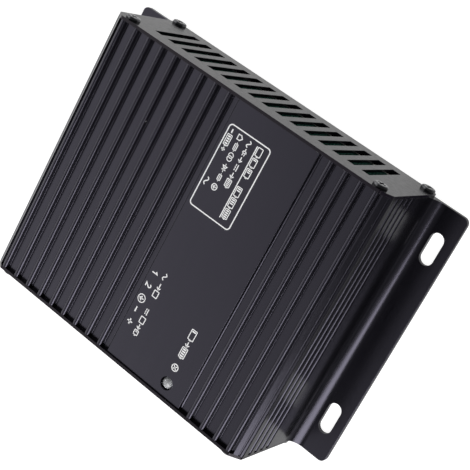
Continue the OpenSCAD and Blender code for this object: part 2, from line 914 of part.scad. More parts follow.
// A standing can: sleeve with a rolled groove near the base and a rounded rim
module can(d, h, p, places) {
    translate([p.x, p.y, board_top])
        rotate_extrude()
            polygon(concat(
                [[0, 0], [d / 2, 0], [d / 2, h * 0.06]],
                arc(d / 2, h * 0.06 + 0.5, 0.5, -90, -270, 6),
                arc(d / 2 - 0.8, h - 0.8, 0.8, 0, 90, 4),
                [[0, h]]
            ));
    leads(places, board_top + 1);
}

module reservoir_capacitor() {
    color([0.12, 0.12, 0.16])
        can(bulk_d, bulk_h, [bulk_x, input_y], bulk_leads);
}

module output_capacitors() {
    color([0.1, 0.12, 0.25])
        for (i = [0:2]) {
            own_leads = [for (j = [0, 1]) out_cap_leads[2 * i + j]];
            can(out_cap_d, out_cap_h, [out_cap_x[i], output_y], own_leads);
        }
}

// A heat sink: an upright plate with fins on its outer face
module heatsink(side) {
    fin_step = (sink_l - sink_fin_t) / (sink_fins - 1);
    color([0.7, 0.71, 0.73])
        mirror([0, side < 0 ? 1 : 0, 0])
            difference() {
                union() {
                    translate([sink_x - sink_l / 2, sink_in_y, board_top])
                        cube([sink_l, sink_base, sink_h]);
                    for (i = [0:sink_fins - 1])
                        translate([sink_x - sink_l / 2 + i * fin_step, sink_in_y, board_top])
                            cube([sink_fin_t, sink_d, sink_h]);
                    leads([for (t = [-1, 1]) [sink_x + t * sink_foot_x, sink_in_y + sink_base / 2]],
                        board_top + 1);
                }
                translate([sink_x, sink_in_y - over, tab_hole_z])
                    rotate([-90, 0, 0])
                        cylinder(d = tab_screw_d + 2 * screw_gap, h = tab_screw_l + over);
            }
}

// A power device: a moulded body in front of a metal tab, which is screwed to its heat sink
module power_device(side) {
    mirror([0, side < 0 ? 1 : 0, 0])
        difference() {
            union() {
                translate([sink_x - device_size.x / 2, sink_in_y - tab_t, device_z])
                    cube([device_size.x, tab_t, device_size.z + tab_h]);
                translate([sink_x - device_size.x / 2, sink_in_y - device_size.y, device_z])
                    cube([device_size.x, device_size.y - tab_t + over, device_size.z]);
                leads([for (i = [-1:1]) [sink_x + i * device_pitch, device_lead_y]], device_z + 1);
            }
            translate([sink_x, sink_in_y - tab_t - over, tab_hole_z])
                rotate([-90, 0, 0])
                    cylinder(d = tab_screw_d + 2 * hole_gap, h = tab_t + 2 * over);
        }
}

module heatsink_screws() {
    color([0.75, 0.76, 0.78])
        for (s = [-1, 1])
            translate([sink_x, s * (sink_in_y - tab_t), tab_hole_z])
                rotate([s * 90, 0, 0])
                    pan_screw(tab_screw_d, tab_t + tab_screw_l - tab_screw_end, tab_head_d, tab_head_h);
}

// Transformer: a core of two halves round a bobbin, lying along x
module transformer_core() {
    legs = [[-core_w / 2, side_leg], [-core_leg / 2, core_leg], [core_w / 2 - side_leg, side_leg]];
    color([0.2, 0.2, 0.2])
        translate([core_x, middle_y, coil_mid_z])
            for (s = [-1, 1])
                mirror([s < 0 ? 1 : 0, 0, 0]) {
                    translate([core_room / 2, -core_w / 2, -core_t / 2])
                        cube([core_back, core_w, core_t]);
                    for (y = legs)
                        translate([core_split / 2, y[0], -core_t / 2])
                            cube([core_room / 2 + over, y[1], core_t]);
                }
}

module transformer_bobbin() {
    tube_w = core_leg + 2 * fit_gap + 2 * bobbin_wall;
    tube_h = core_t + 2 * fit_gap + 2 * bobbin_wall;
    end_x = core_room / 2 - fit_gap;
    side = window_w - 2 * fit_gap;
    block_h = coil_mid_z - board_top - core_t / 2 - core_split;
    color([0.75, 0.72, 0.62])
        translate([core_x, middle_y, coil_mid_z]) {
            difference() {
                union() {
                    translate([-end_x, -tube_w / 2, -tube_h / 2])
                        cube([2 * end_x, tube_w, tube_h]);
                    for (s = [-1, 1])
                        translate([s < 0 ? -end_x : end_x - bobbin_lip, -side / 2, -flange_h / 2])
                            cube([bobbin_lip, side, flange_h]);
                    for (s = [-1, 1])
                        mirror([s < 0 ? 1 : 0, 0, 0])
                            translate([end_x - bobbin_lip, -side / 2, board_top - coil_mid_z])
                                cube([bobbin_end + bobbin_lip, side, block_h]);
                }
                translate([-end_x - over, -core_leg / 2 - fit_gap, -core_t / 2 - fit_gap])
                    cube([2 * (end_x + over), core_leg + 2 * fit_gap, core_t + 2 * fit_gap]);
            }
            translate([-core_x, -middle_y, -coil_mid_z])
                leads(bobbin_leads, board_top + 1);
        }
}

module transformer_winding() {
    tube_w = core_leg + 2 * fit_gap + 2 * bobbin_wall;
    tube_h = core_t + 2 * fit_gap + 2 * bobbin_wall;
    span = core_room - 2 * fit_gap - 2 * bobbin_lip - 2 * fit_gap;
    out_w = window_w - 4 * fit_gap;
    out_h = flange_h - 2 * bobbin_foot;
    corners = [for (c = [[1, 1], [-1, 1], [-1, -1], [1, -1]]) [c.x * out_w / 2, c.y * out_h / 2]];
    color([0.9, 0.8, 0.3])
        translate([core_x, middle_y, coil_mid_z])
            along_x(-span / 2, span / 2)
                difference() {
                    polygon(softened(corners, [for (c = corners) winding_r]));
                    translate([-tube_w / 2 - fit_gap / 4, -tube_h / 2 - fit_gap / 4])
                        square([tube_w + fit_gap / 2, tube_h + fit_gap / 2]);
                }
}

module current_shunt() {
    color([0.92, 0.92, 0.9]) {
        translate([shunt_x - shunt_size.x / 2, shunt_y - shunt_size.y / 2, board_top])
            cube(shunt_size);
        leads(shunt_leads, board_top + 1);
    }
}

// A flat chip with bent legs that stand on the board
chip_pitch = 2.54;
chip_lift = 0.3;
leg_w = 0.5;
leg_out = 1.2;
module chip(size, pins) {
    side = pins / 2;
    translate([-size.x / 2, -size.y / 2, chip_lift])
        cube(size);
    for (i = [0:side - 1], s = [0, 1])
        mirror([0, s, 0])
            translate([(i - (side - 1) / 2) * chip_pitch - leg_w / 2, size.y / 2 - over, 0]) {
                cube([leg_w, leg_out + over, leg_w]);
                cube([leg_w, leg_out / 2 + over, chip_lift + size.z / 2]);
            }
}

control_size = [9.8, 6.4, 3.3];
control_pins = 8;
coupler_size = [4.6, 6.4, 3.3];
chip_gap = 2;
control_x = bridge_x - bridge_size.x / 2 + control_size.x / 2;
control_y = middle_y + control_size.y / 2;
module control_chip() {
    color([0.1, 0.1, 0.1])
        translate([control_x, control_y, board_top])
            chip(control_size, control_pins);
}

module signal_couplers() {
    first = control_x + control_size.x / 2 + chip_gap + coupler_size.x / 2;
    color([0.9, 0.9, 0.88])
        for (i = [0, 1])
            translate([first + i * (coupler_size.x + chip_gap), control_y, board_top])
                chip(coupler_size, 4);
}

// Adjusters: a square box with a slotted turning screw on top
adjuster_w = 6.8;
adjuster_h = 4.6;
adjuster_gap = 2;
adjuster_knob = [3, 0.7];
adjuster_slot = [0.6, 0.5];
module adjusters() {
    first = shunt_x + shunt_size.x / 2 + adjuster_gap + adjuster_w / 2;
    slot_z = adjuster_h + adjuster_knob.y - adjuster_slot.y;
    color([0.1, 0.3, 0.65])
        for (i = [0, 1])
            translate([first + i * (adjuster_w + adjuster_gap), coil_y, board_top])
                difference() {
                    union() {
                        translate([-adjuster_w / 2, -adjuster_w / 2, 0])
                            cube([adjuster_w, adjuster_w, adjuster_h]);
                        translate([0, 0, adjuster_h / 2])
                            cylinder(d = adjuster_knob.x, h = adjuster_h / 2 + adjuster_knob.y);
                    }
                    translate([-adjuster_knob.x, -adjuster_slot.x / 2, slot_z])
                        cube([2 * adjuster_knob.x, adjuster_slot.x, adjuster_knob.y]);
                }
}

housing();
vent_plate();
terminal_plate();
plate_screws(-1);  // vent_plate_screws
plate_screws(1);  // terminal_plate_screws
circuit_board();
terminal_body();
terminal_contacts();
terminal_clamps();
terminal_screws();
lamp();
lamp_holder();
lamp_wires();
lamp_plug();
fuse();
fuse_clips();
surge_absorber();
line_capacitor();
line_choke_core();
line_choke_windings();
bridge_rectifier();
reservoir_capacitor();
heatsink(-1);  // switch_heatsink
color([0.1, 0.1, 0.1]) power_device(-1);  // switch_transistor
transformer_core();
transformer_bobbin();
transformer_winding();
heatsink(1);  // output_heatsink
color([0.1, 0.1, 0.1]) power_device(1);  // output_diode
heatsink_screws();
output_choke_core();
output_choke_winding();
output_capacitors();
current_shunt();
control_chip();
signal_couplers();
adjusters();
interference_capacitors();
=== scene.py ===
"""Looks of the battery charger: black finned housing, slotted end plate, printed marks, lamp and board parts.

Lengths are in metres in the part's own frame. A name or a helper that ends in _mm takes millimetres.
"""
import json

import bmesh
import bpy
import numpy as np
from mathutils import Euler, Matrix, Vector


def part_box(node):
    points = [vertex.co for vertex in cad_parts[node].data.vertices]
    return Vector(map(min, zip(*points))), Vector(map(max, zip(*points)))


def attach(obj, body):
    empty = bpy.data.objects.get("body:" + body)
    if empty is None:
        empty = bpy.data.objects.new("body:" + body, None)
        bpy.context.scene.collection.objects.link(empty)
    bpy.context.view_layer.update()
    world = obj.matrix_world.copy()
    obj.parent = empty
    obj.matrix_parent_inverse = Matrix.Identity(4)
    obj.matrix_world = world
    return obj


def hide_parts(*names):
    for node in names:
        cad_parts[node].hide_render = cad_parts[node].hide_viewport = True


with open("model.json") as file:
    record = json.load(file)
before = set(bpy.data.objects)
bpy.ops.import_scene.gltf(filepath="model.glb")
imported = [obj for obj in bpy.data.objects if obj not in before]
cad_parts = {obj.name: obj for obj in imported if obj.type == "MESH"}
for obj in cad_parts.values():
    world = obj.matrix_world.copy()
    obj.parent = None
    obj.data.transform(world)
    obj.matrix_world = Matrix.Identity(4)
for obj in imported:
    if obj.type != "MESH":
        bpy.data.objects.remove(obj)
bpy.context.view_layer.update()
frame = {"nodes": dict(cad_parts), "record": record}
nodes = frame["nodes"]
slot_of = {part["node"]: part["material_slot"] for part in frame["record"]["subparts"]}
MM = 0.001

# Heights read from the solids, in millimetres
board_top = 9.5
board_under = 7.9
plateau_z = 43.65
ink_h = 0.03


def box_mm(node):
    """Lowest and highest corner of a node's box, in millimetres."""
    return [np.array(corner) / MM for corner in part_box(node)]


class Nodes:
    """Short ways to build one node tree."""

    def __init__(self, tree):
        self.tree = tree

    def add(self, kind, **settings):
        node = self.tree.nodes.new(kind)
        for key, value in settings.items():
            setattr(node, key, value)
        return node

    def put(self, socket, value):
        """Links an output, or sets a plain number or colour."""
        if isinstance(value, bpy.types.NodeSocket):
            self.tree.links.new(value, socket)
        elif socket.type == "RGBA":
            socket.default_value = (*value[:3], 1.0)
        else:
            socket.default_value = value

    def filled(self, node, values):
        """Puts values into a node's inputs, named or numbered."""
        for socket, value in values.items():
            self.put(node.inputs[socket], value)
        return node

    def sum(self, operation, *values):
        """One sum over outputs and plain numbers."""
        node = self.add("ShaderNodeMath", operation=operation)
        return self.filled(node, dict(enumerate(values))).outputs[0]

    def span(self, value, low, high, to_low=0.0, to_high=1.0):
        """value brought from low..high to to_low..to_high, held at both ends."""
        node = self.add("ShaderNodeMapRange")
        return self.filled(node, dict(enumerate((value, low, high, to_low, to_high)))).outputs[0]

    def blend(self, share, first, second):
        """The first colour where share is 0, the second where it is 1."""
        node = self.add("ShaderNodeMix", data_type="RGBA")
        return self.filled(node, {0: share, 6: first, 7: second}).outputs[2]

    def between(self, share, first, second):
        """The first number where share is 0, the second where it is 1."""
        node = self.add("ShaderNodeMix", data_type="FLOAT")
        return self.filled(node, {0: share, 2: first, 3: second}).outputs[0]

    def metres(self, axis):
        """How far in metres a point lies along X, Y or Z of its object."""
        place = self.add("ShaderNodeTexCoord").outputs["Object"]
        return self.filled(self.add("ShaderNodeSeparateXYZ"), {0: place}).outputs[axis]

    def ray(self, kind):
        return self.add("ShaderNodeLightPath").outputs["Is " + kind + " Ray"]

    def seen_directly(self):
        """1 for camera, mirror and see-through rays, 0 for the rays that carry light to rough surfaces."""
        either = self.sum("MAXIMUM", self.ray("Camera"), self.ray("Glossy"))
        return self.sum("MAXIMUM", either, self.ray("Transmission"))


# Camera, floor and light


def make_camera():
    """A camera over the corner between the slotted end and the long side, at the photograph's place."""
    data = bpy.data.cameras.new("camera")
    data.sensor_fit = "HORIZONTAL"
    data.sensor_width = 36.0
    data.lens = 100.6987
    data.clip_start = 0.01
    data.clip_end = 50.0
    camera = bpy.data.objects.new("camera", data)
    camera.location = (-0.1545596, 0.2051836, 0.4501581)
    camera.rotation_euler = Euler(np.radians([-2.998194, 29.569078, 121.607042]).tolist(), "XYZ")
    bpy.context.scene.collection.objects.link(camera)
    bpy.context.scene.camera = camera


def make_world():
    """A white room. In mirrors it is full white low on the -Y side and falls to a dim ceiling over the other
    sides: the share is the view's direction times (0.34, -0.79, -0.51), brought from -0.3..0.08 to
    0.15..1.8. Rough surfaces get 0.35 of full white from it."""
    world = bpy.data.worlds.new("room")
    world.use_nodes = True
    n = Nodes(world.node_tree)
    view = n.add("ShaderNodeTexCoord").outputs["Generated"]
    slope = n.add("ShaderNodeVectorMath", operation="DOT_PRODUCT")
    n.filled(slope, {0: view, 1: (0.34, -0.79, -0.51)})
    room = n.span(slope.outputs["Value"], -0.3, 0.08, 0.15, 1.8)
    shown = n.between(n.ray("Glossy"), 1.0, room)
    back = next(node for node in n.tree.nodes if node.type == "BACKGROUND")
    strength = n.between(n.seen_directly(), 0.35, shown)
    n.filled(back, {"Color": (1.0, 1.0, 1.0), "Strength": strength})
    bpy.context.scene.world = world


def make_floor():
    """A flat white sheet, 8 m a side, at height 0, that glows at 0.93 of full white and keeps a trace of the
    shadow. Mirrors see it dimmer, by 0.2 below y 0.05 m and by 0.82 above y 0.1 m."""
    side = np.array([-4.0, 4.0])
    x, y = np.meshgrid(side, side)
    points = np.stack([x.ravel(), y.ravel(), np.zeros(4)], 1)
    mesh = bpy.data.meshes.new("floor")
    mesh.from_pydata(points.tolist(), [], [(0, 1, 3, 2)])
    floor = bpy.data.objects.new("floor", mesh)
    bpy.context.scene.collection.objects.link(floor)
    white = bpy.data.materials.new("floor_white")
    white.use_nodes = True
    n = Nodes(white.node_tree)
    n.tree.nodes.clear()
    full = 0.93
    darker = n.sum("MULTIPLY", n.ray("Glossy"), n.span(n.metres("Y"), 0.05, 0.1, 0.2, 0.82))
    seen = n.span(n.seen_directly(), 0.0, 1.0, 0.0, full)
    rough = n.filled(n.add("ShaderNodeBsdfDiffuse"), {"Color": n.span(darker, 0.0, 1.0, 0.42, 0.05)})
    strength = n.sum("MULTIPLY_ADD", darker, -full, seen)
    glow = n.filled(n.add("ShaderNodeEmission"), {"Strength": strength})
    total = n.filled(n.add("ShaderNodeAddShader"), {0: rough.outputs[0], 1: glow.outputs[0]})
    n.filled(n.add("ShaderNodeOutputMaterial"), {"Surface": total.outputs[0]})
    mesh.materials.append(white)


def make_lamp(name, towards, distance, width, height, radiance, aim=(0.0, 0.0, 0.02)):
    """A soft box that faces aim. Its power is radiance times its area times pi."""
    data = bpy.data.lights.new(name, "AREA")
    data.shape = "RECTANGLE"
    data.size = width
    data.size_y = height
    data.energy = radiance * width * height * np.pi
    lamp = bpy.data.objects.new(name, data)
    way = Vector(towards).normalized()
    lamp.location = Vector(aim) + way * distance
    lamp.rotation_euler = (-way).to_track_quat("-Z", "Y").to_euler()
    bpy.context.scene.collection.objects.link(lamp)


make_camera()
bpy.context.scene.view_settings.view_transform = "Standard"
make_world()
make_floor()
make_lamp("soft_box", (0.54, 0.64, 0.53), distance=1.1, width=0.54, height=0.95, radiance=7.9)


# Finishes


class Finish(Nodes):
    """One finish: a principled surface, and short ways to add the patterns that feed it. Places are in
    millimetres."""

    def __init__(self, name, colour, rough, metal=0.0, ior=1.5, **sockets):
        self.made = bpy.data.materials.new(name)
        self.made.use_nodes = True
        super().__init__(self.made.node_tree)
        self.surface = next(n for n in self.tree.nodes if n.type == "BSDF_PRINCIPLED")
        self.filled(self.surface, {"Base Color": colour, "Roughness": rough, "Metallic": metal, "IOR": ior})
        self.filled(self.surface, {socket.replace("_", " "): value for socket, value in sockets.items()})
        self.place = self.add("ShaderNodeTexCoord").outputs["Object"]

    def shades(self, pattern, dark, light, low=0.3, high=0.7):
        """A colour that goes from dark to light while a pattern rises from low to high."""
        return self.blend(self.span(pattern, low, high), dark, light)

    def colour(self, value):
        self.put(self.surface.inputs["Base Color"], value)

    def rough(self, pattern, smooth, coarse):
        """Roughness from smooth to coarse while a pattern rises from 0.3 to 0.7."""
        self.put(self.surface.inputs["Roughness"], self.span(pattern, 0.3, 0.7, smooth, coarse))

    def scaled(self, per_mm, stretch=(1, 1, 1), at_mm=(0, 0, 0)):
        """The place in millimetres from at_mm, times per_mm and the three stretches."""
        scale = np.array(stretch) * per_mm
        start = (-np.array(at_mm) * scale).tolist()
        values = {"Vector": self.place, "Scale": (scale / MM).tolist(), "Location": start}
        return self.filled(self.add("ShaderNodeMapping"), values).outputs["Vector"]

    def noise(self, per_mm, detail=2.0, stretch=(1, 1, 1)):
        values = {"Vector": self.scaled(per_mm, stretch), "Scale": 1.0, "Detail": detail}
        return self.filled(self.add("ShaderNodeTexNoise"), values).outputs["Fac"]

    def bands(self, per_mm, axis, profile="SIN"):
        """Bands across an axis, per_mm of them in each millimetre. The wave texture makes one band for each
        unit of length when its scale is a tenth of pi."""
        node = self.add("ShaderNodeTexWave", bands_direction=axis, wave_profile=profile)
        return self.filled(node, {"Vector": self.scaled(per_mm), "Scale": 0.3142}).outputs["Fac"]

    def along(self, axis, at_mm=0.0):
        """How far in millimetres a point lies from at_mm along X, Y or Z."""
        start = [0.0, 0.0, 0.0]
        start["XYZ".index(axis)] = at_mm
        place = self.scaled(1.0, at_mm=start)
        return self.filled(self.add("ShaderNodeSeparateXYZ"), {0: place}).outputs[axis]

    def specks(self, per_mm, size, rare):
        """Scattered round specks: size is the share of a cell, and rare of the cells hold none."""
        cells = self.add("ShaderNodeTexVoronoi", feature="F1")
        self.filled(cells, {"Vector": self.scaled(per_mm), "Scale": 1.0})
        number = self.filled(self.add("ShaderNodeSeparateColor"), {0: cells.outputs["Color"]})
        near = self.span(cells.outputs["Distance"], size, size * 0.5)
        return self.sum("MULTIPLY", near, self.sum("GREATER_THAN", number.outputs[0], rare))

    def rounded(self, radius_mm):
        """The surface's direction with sharp edges softened over radius_mm."""
        return self.filled(self.add("ShaderNodeBevel", samples=6), {"Radius": radius_mm * MM}).outputs[0]

    def edge(self, radius_mm):
        """1 on sharp edges and 0 away from them: how far the softened direction leaves the true one, as the
        cosine between them falls from 0.995 to 0.86."""
        true = self.add("ShaderNodeNewGeometry").outputs["Normal"]
        cosine = self.add("ShaderNodeVectorMath", operation="DOT_PRODUCT")
        self.filled(cosine, {0: self.rounded(radius_mm), 1: true})
        return self.span(cosine.outputs["Value"], 0.995, 0.86)

    def chipped(self, shade, per_mm, rare, bare):
        """A coat rubbed to a bare colour on those sharp edges where a noise passes rare."""
        chips = self.span(self.noise(per_mm, 3.0), rare, rare + 0.04)
        rubbed = self.sum("MULTIPLY", self.edge(0.12), chips)
        return self.blend(self.sum("MULTIPLY", rubbed, 0.8), shade, bare)

    def relief(self, height, depth_mm, base=None):
        """Fine relief of the surface from height, depth_mm from 0 to 1, over a base direction."""
        values = {"Height": height, "Strength": 1.0, "Distance": depth_mm * MM}
        if base is not None:
            values["Normal"] = base
        bump = self.filled(self.add("ShaderNodeBump"), values)
        self.put(self.surface.inputs["Normal"], bump.outputs[0])


def housing_metal():
    """Black satin extrusion: draw lines along X, faint clouds, a little dust and a few chipped edges."""
    f = Finish("housing_metal", (0.002, 0.002, 0.004), 0.2, ior=1.46, Specular_Tint=(0.82, 0.78, 1.0))
    lines = f.noise(2.4, 3.0, (0.01, 1, 1))
    clouds = f.noise(0.035, 3.0)
    shade = f.shades(clouds, (0.0020, 0.0019, 0.0027), (0.0030, 0.0029, 0.0038), 0.35, 0.65)
    shade = f.blend(f.span(lines, 0.35, 0.75, 0.0, 0.5), shade, (0.0055, 0.005, 0.007))
    shade = f.chipped(shade, 0.9, 0.66, (0.30, 0.30, 0.31))
    shade = f.blend(f.specks(0.11, 0.035, 0.82), shade, (0.30, 0.30, 0.31))
    f.colour(shade)
    f.rough(f.noise(0.3, 4.0, (0.15, 1, 1)), 0.19, 0.25)
    f.relief(lines, 0.0012)
    return f.made


def plate_metal():
    """Black satin paint on sheet: a fine even grain, soft clouds, dust, and paler rubbed edges."""
    f = Finish("plate_metal", (0.01, 0.01, 0.01), 0.3, ior=1.28, Specular_Tint=(1.0, 0.92, 1.0))
    clouds = f.noise(0.05, 3.0)
    shade = f.shades(clouds, (0.0034, 0.0027, 0.0052), (0.0060, 0.0048, 0.0086), 0.35, 0.65)
    shade = f.chipped(shade, 0.8, 0.64, (0.34, 0.34, 0.35))
    shade = f.blend(f.specks(0.13, 0.035, 0.8), shade, (0.35, 0.35, 0.36))
    f.colour(shade)
    f.rough(f.noise(0.5, 3.0), 0.20, 0.27)
    f.relief(f.noise(5.0, 3.0), 0.002, f.rounded(0.1))
    return f.made


def dark_screws():
    """Black plated steel: a thin dark coat with its sharp edges painted near white, partly wear and partly a
    painted highlight on the head's rim and recess, and thread ridges 0.5 mm apart on the shank, which ends
    under the head at 56.1 mm from the middle of the part."""
    f = Finish("dark_screws", (0.1, 0.1, 0.1), 0.3, 1.0)
    patch = f.noise(1.2, 3.0)
    shade = f.shades(patch, (0.05, 0.05, 0.054), (0.11, 0.11, 0.115), 0.35)
    # Every sharp edge painted near white: worn metal and a painted highlight on the head's rim and recess.
    f.colour(f.blend(f.edge(0.12), shade, (0.85, 0.85, 0.86)))
    f.rough(patch, 0.12, 0.2)
    inside = f.sum("LESS_THAN", f.sum("ABSOLUTE", f.along("X")), 56.1)
    ridges = f.sum("MULTIPLY", f.bands(2.0, "X", "TRI"), inside)
    f.relief(ridges, 0.12, f.rounded(0.12))
    return f.made


def board():
    """Green lacquered laminate: paler copper runs under the lacquer, and woven edges where it is sawn, pale
    and painted near white as a glint of light through the vent slots.
    """
    f = Finish("board", (0.02, 0.2, 0.1), 0.3, Coat_Weight=0.3, Coat_Roughness=0.15)
    brick = f.add("ShaderNodeTexBrick", offset=0.37, squash=0.6, squash_frequency=3)
    f.put(brick.inputs["Vector"], f.scaled(0.22))
    f.filled(brick, {"Scale": 1.0, "Mortar Size": 0.07, "Mortar Smooth": 0.1, "Bias": 0.0})
    runs = brick.outputs["Fac"]
    weave = f.sum("MULTIPLY", f.bands(1.6, "X"), f.bands(1.6, "Y"))
    shade = f.shades(f.noise(0.2, 3.0), (0.035, 0.15, 0.115), (0.055, 0.21, 0.16))
    shade = f.blend(runs, shade, (0.09, 0.31, 0.24))
    shade = f.blend(f.sum("MULTIPLY", weave, 0.2), shade, (0.08, 0.27, 0.21))
    facing = f.add("ShaderNodeNewGeometry").outputs["True Normal"]
    up = f.filled(f.add("ShaderNodeSeparateXYZ"), {0: facing})
    side = f.sum("LESS_THAN", f.sum("ABSOLUTE", up.outputs["Z"]), 0.5)
    # Sawn edges: pale laminate, painted near white as a glint of light falling through the vent slots.
    sawn_edge_and_glint = f.blend(f.bands(4.0, "Z"), (0.82, 0.84, 0.78), (0.94, 0.95, 0.91))
    f.colour(f.blend(side, shade, sawn_edge_and_glint))
    f.put(f.surface.inputs["Roughness"], f.span(side, 0.0, 1.0, 0.28, 0.8))
    f.relief(runs, 0.03)
    return f.made


def moulded(name, dark, light, rough, grain_mm=0.012, per_mm=3.5):
    """Moulded plastic or resin: a spark-eroded grain and slight clouds in its colour."""
    f = Finish(name, dark, rough)
    f.colour(f.shades(f.noise(0.25, 3.0), dark, light))
    grain = f.noise(per_mm, 4.0)
    f.rough(grain, rough - 0.06, rough + 0.08)
    f.relief(grain, grain_mm, f.rounded(0.15))
    return f.made


def glossy(name, dark, light, rough=0.22, wave_mm=0.03):
    """Dipped or shrunk cover: glossy, with a slow wave in its skin and a few pores."""
    f = Finish(name, dark, rough, Coat_Weight=0.5, Coat_Roughness=0.1)
    slow = f.noise(0.35, 3.0)
    pores = f.specks(0.9, 0.12, 0.7)
    f.colour(f.blend(pores, f.shades(slow, dark, light), tuple(0.4 * c for c in dark)))
    f.rough(f.noise(1.5, 2.0), rough - 0.05, rough + 0.08)
    f.relief(f.sum("SUBTRACT", slow, f.sum("MULTIPLY", pores, 0.3)), wave_mm, f.rounded(0.25))
    return f.made


def bright(name, dark, light, rough=0.25, lines=(1, 1, 1), per_mm=3.0):
    """Bare or plated metal: fine lines along its longest stretch, small stains, and every sharp edge paler.
    """
    f = Finish(name, light, rough, 1.0)
    fine = f.noise(per_mm, 3.0, lines)
    shade = f.shades(f.noise(0.5, 4.0), light, dark, 0.35, 0.75)
    # Every sharp edge is painted half way to near white.
    f.colour(f.blend(f.sum("MULTIPLY", f.edge(0.1), 0.5), shade, (0.9, 0.9, 0.9)))
    f.rough(fine, rough - 0.06, rough + 0.1)
    f.relief(fine, 0.004, f.rounded(0.1))
    return f.made


def on_leads(made, top_mm):
    """Turns what lies under top_mm to tinned wire, since a part and its leads share one solid."""
    n = Nodes(made.node_tree)
    surface = next(node for node in n.tree.nodes if node.type == "BSDF_PRINCIPLED")
    cover = surface.inputs["Base Color"].links[0].from_socket
    low = n.sum("LESS_THAN", n.metres("Z"), top_mm * MM)
    n.filled(surface, {"Base Color": n.blend(low, cover, (0.72, 0.72, 0.70)), "Metallic": low})


def wire_cover():
    """Two insulated wires, one red and one black, told apart by their side of the lamp."""
    f = Finish("wire_cover", (0.4, 0.03, 0.03), 0.4)
    low, high = box_mm("lamp_wires")
    wide = 0 if high[0] - low[0] > high[1] - low[1] else 1
    middle = (low[wide] + high[wide]) / 2
    side = f.sum("GREATER_THAN", f.along("XYZ"[wide], middle), 0.0)
    mottle = f.noise(1.5, 3.0)
    red = f.shades(mottle, (0.36, 0.02, 0.02), (0.46, 0.035, 0.03))
    black = f.shades(mottle, (0.012, 0.012, 0.012), (0.03, 0.03, 0.03))
    f.colour(f.blend(side, red, black))
    f.relief(mottle, 0.01)
    return f.made


def copper():
    """Enamelled copper wire: red-brown under a clear glossy coat, darker where the enamel is thick."""
    f = Finish("copper", (0.6, 0.24, 0.1), 0.25, 1.0, Coat_Weight=0.6, Coat_Roughness=0.08)
    patch = f.noise(0.8, 3.0)
    f.colour(f.shades(patch, (0.42, 0.13, 0.05), (0.66, 0.27, 0.12), 0.35))
    f.rough(f.noise(3.0, 2.0), 0.18, 0.3)
    f.relief(patch, 0.006)
    return f.made


def winding_tape():
    """Yellow polyester tape in overlapping turns: a step every 2.4 mm of height, glossy, with the wire just
    showing through."""
    f = Finish("winding_tape", (0.8, 0.6, 0.05), 0.2, Coat_Weight=0.4, Coat_Roughness=0.1)
    turns = f.bands(0.42, "Z", "SAW")
    wires = f.bands(2.2, "Z")
    shade = f.shades(f.noise(0.2, 3.0), (0.62, 0.42, 0.03), (0.78, 0.56, 0.06))
    shade = f.blend(f.sum("MULTIPLY", wires, 0.25), shade, (0.45, 0.24, 0.03))
    f.colour(f.blend(f.span(turns, 0.9, 1.0, 0.0, 0.6), shade, (0.3, 0.2, 0.03)))
    f.rough(f.noise(1.0, 3.0), 0.16, 0.3)
    f.relief(f.sum("ADD", turns, f.sum("MULTIPLY", wires, 0.3)), 0.05)
    return f.made


def ferrite():
    """Ground ferrite: dark grey, grinding marks along Y and small chips."""
    f = Finish("ferrite", (0.05, 0.05, 0.055), 0.5)
    marks = f.noise(3.0, 3.0, (1, 0.05, 1))
    chips = f.specks(0.8, 0.16, 0.55)
    shade = f.shades(marks, (0.035, 0.035, 0.04), (0.075, 0.075, 0.082))
    f.colour(f.blend(chips, shade, (0.02, 0.02, 0.022)))
    f.rough(marks, 0.38, 0.6)
    f.relief(f.sum("SUBTRACT", marks, chips), 0.015, f.rounded(0.3))
    return f.made


def powder_core(name, dark, light):
    """A ring core in its painted coat: thick orange-peel skin with a few bare specks."""
    f = Finish(name, dark, 0.35, Coat_Weight=0.3, Coat_Roughness=0.2)
    peel = f.noise(1.4, 2.0)
    f.colour(f.blend(f.specks(0.7, 0.1, 0.8), f.shades(peel, dark, light), (0.08, 0.08, 0.08)))
    f.rough(peel, 0.3, 0.5)
    f.relief(peel, 0.06, f.rounded(0.4))
    return f.made


def white_ceramic():
    """Fired ceramic case: chalky, with pits and a sanded filling."""
    f = Finish("white_ceramic", (0.7, 0.69, 0.65), 0.75)
    pits = f.specks(1.1, 0.16, 0.5)
    chalk = f.noise(1.0, 4.0)
    shade = f.shades(chalk, (0.60, 0.59, 0.54), (0.74, 0.73, 0.69))
    f.colour(f.blend(pits, shade, (0.36, 0.35, 0.32)))
    f.relief(f.sum("SUBTRACT", chalk, pits), 0.05, f.rounded(0.3))
    return f.made


def lamp_resin():
    """Milky clear resin: lets light in, spreads it, and shows the metal cup inside as paler patches."""
    f = Finish("lamp_resin", (0.78, 0.79, 0.8), 0.16, Transmission_Weight=0.55, Subsurface_Weight=0.25)
    f.filled(f.surface, {"Subsurface Radius": (0.002, 0.002, 0.002), "Subsurface Scale": 1.0})
    haze = f.noise(0.6, 3.0)
    f.colour(f.shades(haze, (0.60, 0.61, 0.63), (0.86, 0.87, 0.88)))
    f.relief(f.noise(1.2, 2.0), 0.004)
    return f.made


def fuse_glass():
    """Thin drawn glass with faint draw lines along the tube."""
    f = Finish("fuse_glass", (0.93, 0.96, 0.95), 0.03, Transmission_Weight=1.0)
    lines = f.noise(1.5, 2.0, (0.1, 1, 1))
    f.colour(f.shades(lines, (0.90, 0.94, 0.93), (0.97, 0.99, 0.98)))
    f.relief(lines, 0.004)
    return f.made


def white_ink():
    """Screen-printed white ink: slightly thin and uneven in patches."""
    f = Finish("white_ink", (0.8, 0.8, 0.8), 0.5)
    thin = f.noise(1.8, 4.0)
    f.colour(f.shades(thin, (0.86, 0.86, 0.87), (0.98, 0.98, 0.98), 0.25, 0.6))
    f.relief(thin, 0.006)
    return f.made


def board_ink():
    """White legend ink on the lacquer."""
    f = Finish("board_ink", (0.8, 0.8, 0.76), 0.6)
    f.colour(f.shades(f.noise(2.0, 3.0), (0.55, 0.56, 0.52), (0.82, 0.82, 0.78), 0.3, 0.6))
    return f.made


